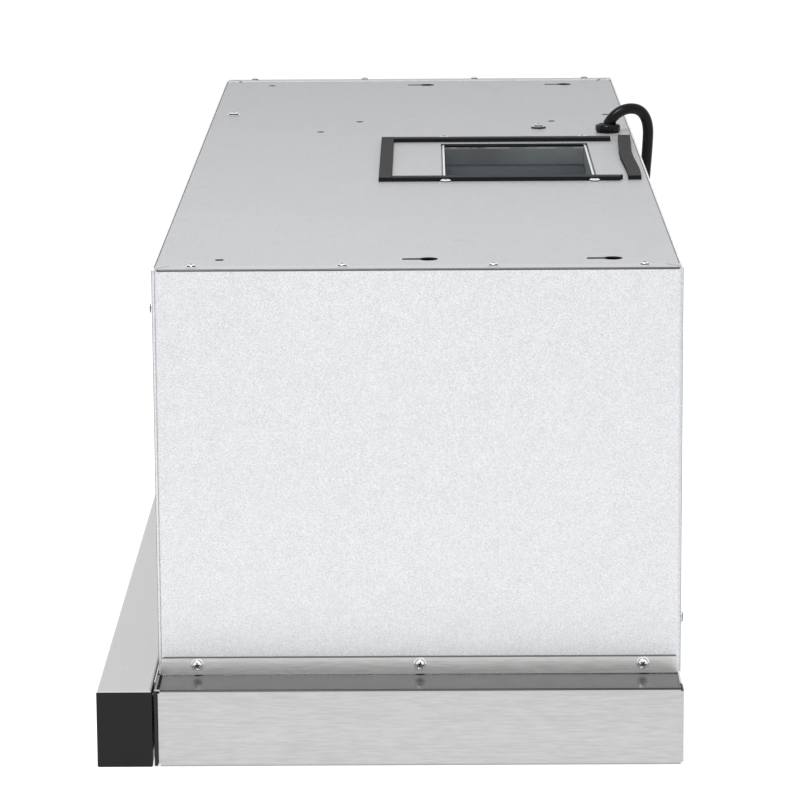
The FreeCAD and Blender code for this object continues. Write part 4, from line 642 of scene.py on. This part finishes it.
# ---- power inlet ----
# A glossy nylon gland clamps the cord in the top panel, with a hexagon nut below. Under it a
# screwed sheet box holds the terminal block, and the ground screw with its toothed washer stands
# beside it.
gland_place = Vector((-0.124, 0.1452, top_face))
gland_cap = turned([(0.0037, -0.009), (0.0062, -0.009), (0.0062, 0), (0.0079, 0), (0.0079, 0.0008),
                    (0.0077, 0.0010), (0.0082, 0.0013), (0.0082, 0.0042), (0.00795, 0.0051),
                    (0.0073, 0.0057), (0.0064, 0.0060), (0.0052, 0.0060), (0.0047, 0.0057),
                    (0.0044, 0.0049), (0.0037, 0.0046), (0.0037, -0.009)], 96)
grips = [vert for vert in gland_cap.verts
         if 0.0012 < vert.co.z < 0.0053 and vert.co.xy.length > 0.0078
         and round(math.degrees(math.atan2(vert.co.y, vert.co.x)) / 3.75) % 6 in (0, 1)]
bmesh.ops.scale(gland_cap, vec=(1.035, 1.035, 1), verts=grips)
for turn in (0, 180):
    jaw = slab((-0.0022, 0.0041, 0.0046), (0.0022, 0.0056, 0.0066), 0.0003)
    bmesh.ops.rotate(jaw, cent=(0, 0, 0), matrix=Matrix.Rotation(math.radians(turn + 35), 3, "Z"),
                     verts=jaw.verts)
    gland_cap = joined(gland_cap, jaw)
bmesh.ops.translate(gland_cap, vec=gland_place, verts=gland_cap.verts)
gland_nylon = Finish("gland_nylon", (0.003, 0.003, 0.0034), 0.1, Specular_IOR_Level=0.16)
flow_marks = gland_nylon.noise(500.0, detail=2.0)
gland_nylon.put(Base_Color=gland_nylon.shade(flow_marks, 0.7, 1.4), Roughness=0.06 + 0.1 * flow_marks)
gland_nylon.relief(flow_marks, 0.00003)
piece("gland_cap", gland_cap, gland_nylon, "housing", "gland_plastic", "cord_gland")
gland_nylon.cover("gland_nut")

washer = turned([(0.0021, 0), (0.0044, 0), (0.0044, 0.0006), (0.0021, 0.0006), (0.0021, 0)], 40)
for vert in washer.verts:
    step = round(math.degrees(math.atan2(vert.co.y, vert.co.x)) / 9)
    if vert.co.xy.length > 0.004 and step % 4 in (0, 1):
        vert.co = Vector((vert.co.x * 1.18, vert.co.y * 1.18, vert.co.z + 0.0004 * (step % 4)))
ring_terminal = turned([(0.0021, 0.0007), (0.0040, 0.0007), (0.0040, 0.0011), (0.0021, 0.0011),
                        (0.0021, 0.0007)], 32)
ground_place = Matrix.Translation((-0.146, 0.0986, top_face))
washer_stack = copies(joined(washer, ring_terminal), [ground_place])
for face in washer_stack.faces:
    face.material_index = 1
ground_head = copies(pan_head_screw(0.0040, 0.0019, 0.002, 0.008),
                     [ground_place @ Matrix.Translation((0, 0, 0.0011)) @ Matrix.Rotation(0.4, 4, "Z")])
passivated = Finish("passivated_zinc", (0.62, 0.635, 0.62), 0.22, Metallic=1.0)
chromate = passivated.noise(900.0, detail=3.0)
passivated.put(Base_Color=passivated.shade(chromate, 0.7, 1.25), Roughness=0.16 + 0.16 * chromate)
passivated.relief(chromate, 0.00002)
piece("ground_screw_stack", joined(ground_head, washer_stack), [passivated, recess_shade_and_dark_zinc], "housing",
      "screw_zinc", "ground_screw")

box_zinc = galvanised("wiring_box_zinc", (0.62, 0.63, 0.64), 0.42, 0.1)
box_zinc.cover("wiring_box", "wiring_box_lid")
terminal_nylon = Finish("terminal_nylon", (0.76, 0.74, 0.66), 0.42)
terminal_flow = terminal_nylon.noise(700.0, detail=3.0)
terminal_nylon.put(Base_Color=terminal_nylon.shade(terminal_flow, 0.93, 1.05),
                   Roughness=0.36 + 0.14 * terminal_flow)
terminal_nylon.relief(terminal_flow, 0.00002)
terminal_nylon.cover("terminal_block")


# ---- power cord ----
# Glossy black sheath over three cores. It bends over the rear edge, runs down the back and along
# the wall, and the spare length is coiled and tied beyond the far end, with a moulded plug.
cord_diameter = 0.0074
floor_line = 0.0038
coil_centre = Vector((-0.524, 0.1246))
coil_radius = 0.0405
coil_turns = 2.25
turn_points = 16
over_the_edge = [
    (-0.1240, 0.1452, 0.2774), (-0.1242, 0.1486, 0.2832), (-0.1264, 0.1580, 0.2882),
    (-0.1316, 0.1682, 0.2864), (-0.1366, 0.1736, 0.2760), (-0.1404, 0.1732, 0.2590),
    (-0.1450, 0.1712, 0.2312), (-0.1520, 0.1716, 0.1904), (-0.1600, 0.1746, 0.1414),
    (-0.1690, 0.1788, 0.0870), (-0.1820, 0.1820, 0.0381), (-0.2070, 0.1838, 0.0086)]
along_the_wall = [
    (-0.2431, 0.1842, floor_line), (-0.2945, 0.1828, floor_line), (-0.3542, 0.1854, floor_line),
    (-0.4202, 0.1832, floor_line), (-0.4758, 0.1726, floor_line)]
to_the_plug = [
    (-0.5650, 0.1066, 0.0186), (-0.5645, 0.0866, 0.0136), (-0.5625, 0.0646, 0.0104),
    (-0.5600, 0.0466, 0.0102)]

route = over_the_edge + along_the_wall
turn_steps = int(coil_turns * turn_points)
for step in range(turn_steps + 1):
    angle = math.pi / 2 + 2 * math.pi * step / turn_points
    rise = cord_diameter * step / turn_points
    reach = coil_radius / math.cos(math.pi / turn_points)
    route.append((coil_centre.x + reach * math.cos(angle), coil_centre.y + reach * math.sin(angle),
                  floor_line + rise))
route += to_the_plug

cord_curve = bpy.data.curves.new("power_cord_sheath", "CURVE")
cord_curve.dimensions = "3D"
cord_curve.bevel_depth = cord_diameter / 2
cord_curve.bevel_resolution = 6
cord_curve.resolution_u = 10
cord_curve.use_fill_caps = True
spline = cord_curve.splines.new("NURBS")
spline.points.add(len(route) - 1)
for point, place in zip(spline.points, route):
    point.co = (*place, 1.0)
spline.order_u = 3
spline.use_endpoint_u = True
cord = bpy.data.objects.new("power_cord_sheath", cord_curve)
scene.collection.objects.link(cord)

sheath = Finish("cord_sheath", (0.004, 0.004, 0.0044), 0.2, Specular_IOR_Level=0.14)
sheath_ripple = sheath.noise(900.0, detail=2.0)
sheath_dust = sheath.noise(55.0, detail=4.0, roughness=0.6).between(0.5, 0.75)
sheath.put(Base_Color=sheath.blend(sheath_dust * 0.3, (0.004, 0.004, 0.0044, 1), (0.016, 0.016, 0.017, 1)),
           Roughness=0.13 + 0.12 * sheath_ripple + 0.1 * sheath_dust)
sheath.relief(sheath_ripple, 0.00003)
cord_curve.materials.append(sheath.material)
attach(cord, "housing")
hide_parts("power_cord", "cord_coil")

# The moulded plug: a tapered grip with ribs, a ringed strain relief, two flat blades with their
# holes and a round earth pin.
plug_back = Vector(to_the_plug[-1])
grip_length = 0.032
plug_grip = slab((-0.0130, -grip_length, -0.0100), (0.0130, 0.0, 0.0098), 0.0038, 5)
for vert in plug_grip.verts:
    forward = -vert.co.y / grip_length
    vert.co.x *= 1 - 0.10 * math.sin(math.pi * min(max(forward, 0), 1))
    vert.co.z = vert.co.z * (1 - 0.10 * (1 - forward)) - 0.001 * (1 - forward)
grip_ribs = []
for step in range(5):
    rib_back = -0.0071 - 0.0034 * step
    grip_ribs.append(slab((-0.0093, rib_back - 0.0016, 0.0084), (0.0093, rib_back, 0.0093), 0.0004))
strain_relief = [(0, -0.004), (0.0082, -0.004)]
relief_rings = 5
for ring in range(relief_rings):
    foot = 0.0186 * ring / relief_rings
    wall = 0.0076 - 0.0030 * ring / relief_rings
    strain_relief += [(wall, foot), (wall, foot + 0.0024), (wall - 0.0013, foot + 0.0026),
                      (wall - 0.0014, foot + 0.0035)]
strain_relief += [(0.0042, 0.0184), (0.0041, 0.0214), (0, 0.0214)]
strain_relief = turned(strain_relief, 40)
bmesh.ops.rotate(strain_relief, cent=(0, 0, 0), matrix=Matrix.Rotation(math.radians(-90), 3, "X"),
                 verts=strain_relief.verts)
plug_body = joined(plug_grip, strain_relief, *grip_ribs)
bmesh.ops.translate(plug_body, vec=plug_back, verts=plug_body.verts)
plug_rubber = Finish("plug_rubber", (0.014, 0.014, 0.015), 0.38)
plug_grain = plug_rubber.noise(1300.0, detail=3.0)
plug_rubber.put(Base_Color=plug_rubber.shade(plug_grain, 0.75, 1.5), Roughness=0.32 + 0.2 * plug_grain)
plug_rubber.relief(plug_grain, 0.00005)
plug = piece("plug_body", plug_body, plug_rubber, "housing", "cord_rubber", "power_plug")

pins = []
for blade_middle in (0.00635, -0.00635):
    blade = slab((blade_middle - 0.00075, -0.0480, -0.0022), (blade_middle + 0.00075, -0.0310, 0.0042),
                 0.0004)
    hole = turned([(0, -0.01), (0.0015, -0.01), (0.0015, 0.01), (0, 0.01)], 20)
    bmesh.ops.rotate(hole, cent=(0, 0, 0), matrix=Matrix.Rotation(math.radians(90), 3, "Y"),
                     verts=hole.verts)
    bmesh.ops.translate(hole, vec=(blade_middle, -0.0445, 0.0010), verts=hole.verts)
    pins.append(carved(blade, hole))
earth = turned([(0, 0.0310), (0.0024, 0.0310), (0.0024, 0.0494), (0.0019, 0.0504), (0.0011, 0.0509),
                (0, 0.0510)], 28)
bmesh.ops.rotate(earth, cent=(0, 0, 0), matrix=Matrix.Rotation(math.radians(90), 3, "X"),
                 verts=earth.verts)
bmesh.ops.translate(earth, vec=(0, 0, -0.0062), verts=earth.verts)
pins.append(earth)
plug_pins = joined(*pins)
bmesh.ops.translate(plug_pins, vec=plug_back, verts=plug_pins.verts)
pin_brass = Finish("nickelled_pins", (0.72, 0.70, 0.64), 0.2, Metallic=1.0)
pin_wear = pin_brass.noise(300.0, (1, 0.1, 1), detail=3.0)
pin_brass.put(Base_Color=pin_brass.shade(pin_wear, 0.85, 1.1), Roughness=0.14 + 0.16 * pin_wear)
pin_brass.relief(pin_wear, 0.00001)
pins_piece = piece("plug_pins", plug_pins, pin_brass, "housing", "cord_rubber")

# A strap of soft plastic round the coil's turns, pulled through its own head.
tie = slab((-0.0052, -0.0019, 0.0), (0.0052, 0.0019, 0.0223), 0.0026, 4)
tie_core = slab((-0.0041, -0.01, 0.0012), (0.0041, 0.01, 0.0211), 0.0018, 3)
tie = carved(tie, tie_core)
tie_head = slab((0.0040, -0.0031, 0.0118), (0.0078, 0.0031, 0.0172), 0.0006)
tie_tail = slab((0.0052, -0.0016, 0.0120), (0.0062, 0.0016, 0.0222), 0.0003)
tie = joined(tie, tie_head, tie_tail)
tie_turn = math.radians(-40)
bmesh.ops.translate(tie, vec=(coil_radius, 0, 0.0001), verts=tie.verts)
bmesh.ops.rotate(tie, cent=(0, 0, 0), matrix=Matrix.Rotation(tie_turn, 3, "Z"), verts=tie.verts)
bmesh.ops.translate(tie, vec=(coil_centre.x, coil_centre.y, 0), verts=tie.verts)
tie_plastic = Finish("tie_plastic", (0.02, 0.02, 0.021), 0.42)
tie_grain = tie_plastic.noise(1600.0, detail=2.0)
tie_plastic.put(Base_Color=tie_plastic.shade(tie_grain, 0.8, 1.4), Roughness=0.36 + 0.16 * tie_grain)
tie_plastic.relief(tie_grain, 0.00004)
tie_piece = piece("coil_tie", tie, tie_plastic, "housing", "cord_rubber")


# ---- visor ----
# The pull-out visor: a folded bar of brushed steel with a plug-in plastic cap at each end, a
# slotted panel behind it, and soft bumpers on the canopy that the bar closes against.
visor_steel, visor_tone = brushed("visor_steel", (0.537, 0.537, 0.539), 0.3, "X", 0.08)
# The bar's faces that look back towards the body are painted near black: painted shade in the gap behind
# the bar.
behind_bar = 1 - visor_steel.axis("Y").between(-0.1300, -0.1298)
closing_face_shade = visor_steel.facing("Y").between(0.5, 0.9) * behind_bar
visor_steel.put(Base_Color=visor_steel.blend(closing_face_shade, visor_steel.shade(visor_tone, 0.92, 1.08),
                                             (0.02, 0.02, 0.0205, 1)))
visor_steel.cover("visor_bar", "visor_panel")
cap_plastic = Finish("end_cap_plastic", (0.012, 0.012, 0.0128), 0.46, Specular_IOR_Level=0.22)
cap_grain = cap_plastic.noise(2100.0, detail=2.0)
cap_cloud = cap_plastic.noise(40.0, detail=3.0)
cap_plastic.put(Base_Color=cap_plastic.shade(cap_grain * 0.5 + cap_cloud * 0.5, 0.82, 1.2),
                Roughness=0.4 + 0.14 * cap_grain)
cap_plastic.relief(cap_grain, 0.00004)
cap_plastic.cover("visor_end_caps", "visor_switch", "control_housing", "right_filter_latch",
                  "left_filter_latch")
bumper_rubber = Finish("bumper_rubber", (0.010, 0.010, 0.011), 0.7)
bumper_grain = bumper_rubber.noise(1300.0, detail=3.0)
bumper_rubber.put(Base_Color=bumper_rubber.shade(bumper_grain, 0.7, 1.4),
                  Roughness=0.62 + 0.16 * bumper_grain)
bumper_rubber.relief(bumper_grain, 0.00006)
bumper_rubber.cover("visor_bumpers")


# ---- controls ----
# Five push buttons in the bar's face: stop, three speeds and the lamps. Each carries a pale
# printed mark and works a switch on the green board behind.
button_plastic = Finish("button_plastic", (0.055, 0.056, 0.06), 0.36)
button_grain = button_plastic.noise(2400.0, detail=2.0)
button_plastic.put(Base_Color=button_plastic.shade(button_grain, 0.8, 1.2),
                   Roughness=0.3 + 0.14 * button_grain)
button_plastic.relief(button_grain, 0.00003)
button_plastic.cover("stop_button", "low_button", "medium_button", "high_button", "light_button",
                     "switch_plunger")
mark_ink = Finish("mark_ink", (0.80, 0.81, 0.82), 0.5)
ink_grain = mark_ink.noise(3000.0, detail=2.0)
mark_ink.put(Base_Color=mark_ink.shade(ink_grain, 0.9, 1.05), Roughness=0.44 + 0.14 * ink_grain)

button_face = -0.1635
button_marks = [("stop_button", 0.210, "0"), ("low_button", 0.236, "1"), ("medium_button", 0.262, "2"),
                ("high_button", 0.288, "3")]
for body, place_x, sign in button_marks:
    words = bpy.data.curves.new("mark_text", "FONT")
    words.body = sign
    words.size = 0.0058
    words.extrude = 0.00003
    words.align_x = "CENTER"
    words.align_y = "CENTER"
    text = bpy.data.objects.new("mark_text", words)
    scene.collection.objects.link(text)
    scene_state = bpy.context.evaluated_depsgraph_get()
    flat = bpy.data.meshes.new_from_object(text.evaluated_get(scene_state))
    mark = bmesh.new()
    mark.from_mesh(flat)
    bpy.data.objects.remove(text)
    bmesh.ops.rotate(mark, cent=(0, 0, 0), matrix=Matrix.Rotation(math.radians(90), 3, "X"),
                     verts=mark.verts)
    bmesh.ops.translate(mark, vec=(place_x, button_face - 0.00004, 0.0217), verts=mark.verts)
    piece(body + "_mark", mark, mark_ink, body, "button_plastic")

lamp_mark = turned([(0.0011, 0), (0.0015, 0), (0.0015, 0.00006), (0.0011, 0.00006), (0.0011, 0)], 24)
rays = []
for step in range(8):
    ray = slab((0.0019, -0.00018, 0), (0.0028, 0.00018, 0.00006))
    bmesh.ops.rotate(ray, cent=(0, 0, 0), matrix=Matrix.Rotation(math.radians(45 * step), 3, "Z"),
                     verts=ray.verts)
    rays.append(ray)
lamp_mark = joined(lamp_mark, *rays)
bmesh.ops.rotate(lamp_mark, cent=(0, 0, 0), matrix=Matrix.Rotation(math.radians(90), 3, "X"),
                 verts=lamp_mark.verts)
bmesh.ops.translate(lamp_mark, vec=(0.314, button_face, 0.0218), verts=lamp_mark.verts)
piece("light_button_mark", lamp_mark, mark_ink, "light_button", "button_plastic")

board_green = Finish("circuit_board_green", (0.035, 0.16, 0.06), 0.35)
tracks = board_green.noise(1.0, (420.0, 30.0, 60.0), detail=1.0).between(0.5, 0.56)
board_green.put(Base_Color=board_green.blend(tracks, (0.03, 0.15, 0.055, 1), (0.05, 0.22, 0.09, 1)),
                Roughness=0.3 + 0.16 * tracks)
board_green.relief(tracks, 0.00003)
board_green.cover("control_board")


# ---- grease filters ----
# Two removable filters: a folded aluminium frame round layers of expanded aluminium mesh, with
# a plastic latch at the front. The outer layers are open diamonds, the inner one is corrugated.
frame_alloy = Finish("filter_frame_alloy", (0.72, 0.725, 0.73), 0.3, Metallic=1.0)
rolling = frame_alloy.noise(1.0, (30.0, 1400.0, 1400.0), detail=3.0)
handling = frame_alloy.noise(26.0, detail=4.0, roughness=0.6)
frame_alloy.put(Base_Color=frame_alloy.shade(rolling * 0.6 + handling * 0.4, 0.88, 1.06),
                Roughness=0.22 + 0.2 * handling)
frame_alloy.relief(rolling, 0.000015)
frame_alloy.cover("right_filter_frame", "left_filter_frame")
strand_alloy = Finish("filter_strand_alloy", (0.70, 0.705, 0.71), 0.28, Metallic=1.0)
strand_tone = strand_alloy.noise(500.0, detail=3.0)
strand_alloy.put(Base_Color=strand_alloy.shade(strand_tone, 0.75, 1.12), Roughness=0.2 + 0.2 * strand_tone)
strand_alloy.relief(strand_tone, 0.00002)
core_alloy = Finish("filter_core_alloy", (0.42, 0.425, 0.43), 0.34, Metallic=1.0)
# The inner layer's corrugation is drawn as pale strands with painted shade between them.
across = core_alloy.axis("X") * 250.0
along = core_alloy.axis("Y") * 420.0
net = (across + along).sine().absolute().smaller((across - along).sine().absolute())
core_alloy.put(Base_Color=core_alloy.blend(net.between(0.1, 0.35), (0.6, 0.605, 0.61, 1),
                                           (0.05, 0.05, 0.052, 1)))
core_alloy.cover("right_filter_mesh", "left_filter_mesh")

mesh_front = -0.0366
mesh_back = 0.1462
mesh_middle = (mesh_front + mesh_back) / 2
mesh_reach = ((Vector((1, 0, 0)), 0.2025), (Vector((0, 1, 0)), (mesh_back - mesh_front) / 2))
for side, body in ((1, "right_filter"), (-1, "left_filter")):
    for layer, level in (("lower", 0.0018), ("upper", 0.0092)):
        net_shape = bmesh.new()
        bmesh.ops.create_grid(net_shape, x_segments=42, y_segments=42, size=0.5)
        diamonds = Matrix.Diagonal((0.40, 0.36, 1, 1)) @ Matrix.Rotation(math.radians(45), 4, "Z")
        bmesh.ops.transform(net_shape, matrix=diamonds, verts=net_shape.verts)
        for across_way, reach in mesh_reach:
            for way in (across_way, -across_way):
                everything = net_shape.verts[:] + net_shape.edges[:] + net_shape.faces[:]
                bmesh.ops.bisect_plane(net_shape, geom=everything, plane_co=way * reach,
                                       plane_no=way, clear_outer=True)
        bmesh.ops.translate(net_shape, vec=(side * 0.216, mesh_middle, level),
                            verts=net_shape.verts)
        net_piece = piece(body + "_" + layer + "_mesh", net_shape, strand_alloy, body,
                          "filter_aluminium")
        strands = net_piece.modifiers.new("strands", "WIREFRAME")
        strands.thickness = 0.0009
        strands.use_even_offset = False


# ---- lamps ----
# Two round downlights under the front: a spun ring with a satin chrome finish, and a pressed
# glass lens whose rings spread the light.
chrome = Finish("satin_chrome", (0.70, 0.71, 0.73), 0.18, Metallic=1.0)
turning = chrome.noise(900.0, detail=3.0)
chrome.put(Base_Color=chrome.shade(turning, 0.9, 1.06), Roughness=0.13 + 0.12 * turning)
chrome.relief(turning, 0.00001)
chrome.cover("lamp_housings")
lens_profile = [(0, 0.0033), (0.0195, 0.0033), (0.0195, 0.0009)]
for ring in range(6):
    outer = 0.0186 - 0.0029 * ring
    lens_profile += [(outer, 0.00055), (outer - 0.0011, 0.00110), (outer - 0.0016, 0.00125)]
lens_profile += [(0.0009, 0.00070), (0, 0.00062)]
lens_glass = Finish("lens_glass", (0.84, 0.86, 0.87), 0.16, Coat_Roughness=0.05)
frosting = lens_glass.noise(1500.0, detail=2.0)
lens_glass.put(Base_Color=lens_glass.shade(frosting, 0.94, 1.04), Roughness=0.12 + 0.14 * frosting,
               Coat_Weight=0.6)
lens_glass.relief(frosting, 0.00002)
lamp_places = [Matrix.Translation((place_x, -0.0924, 0)) for place_x in (0.300, -0.300)]
lenses = copies(turned(lens_profile, 64), lamp_places)
piece("lamp_lens_rings", lenses, lens_glass, "housing", "lamp_glass", "lamp_lenses", crease=20.0)
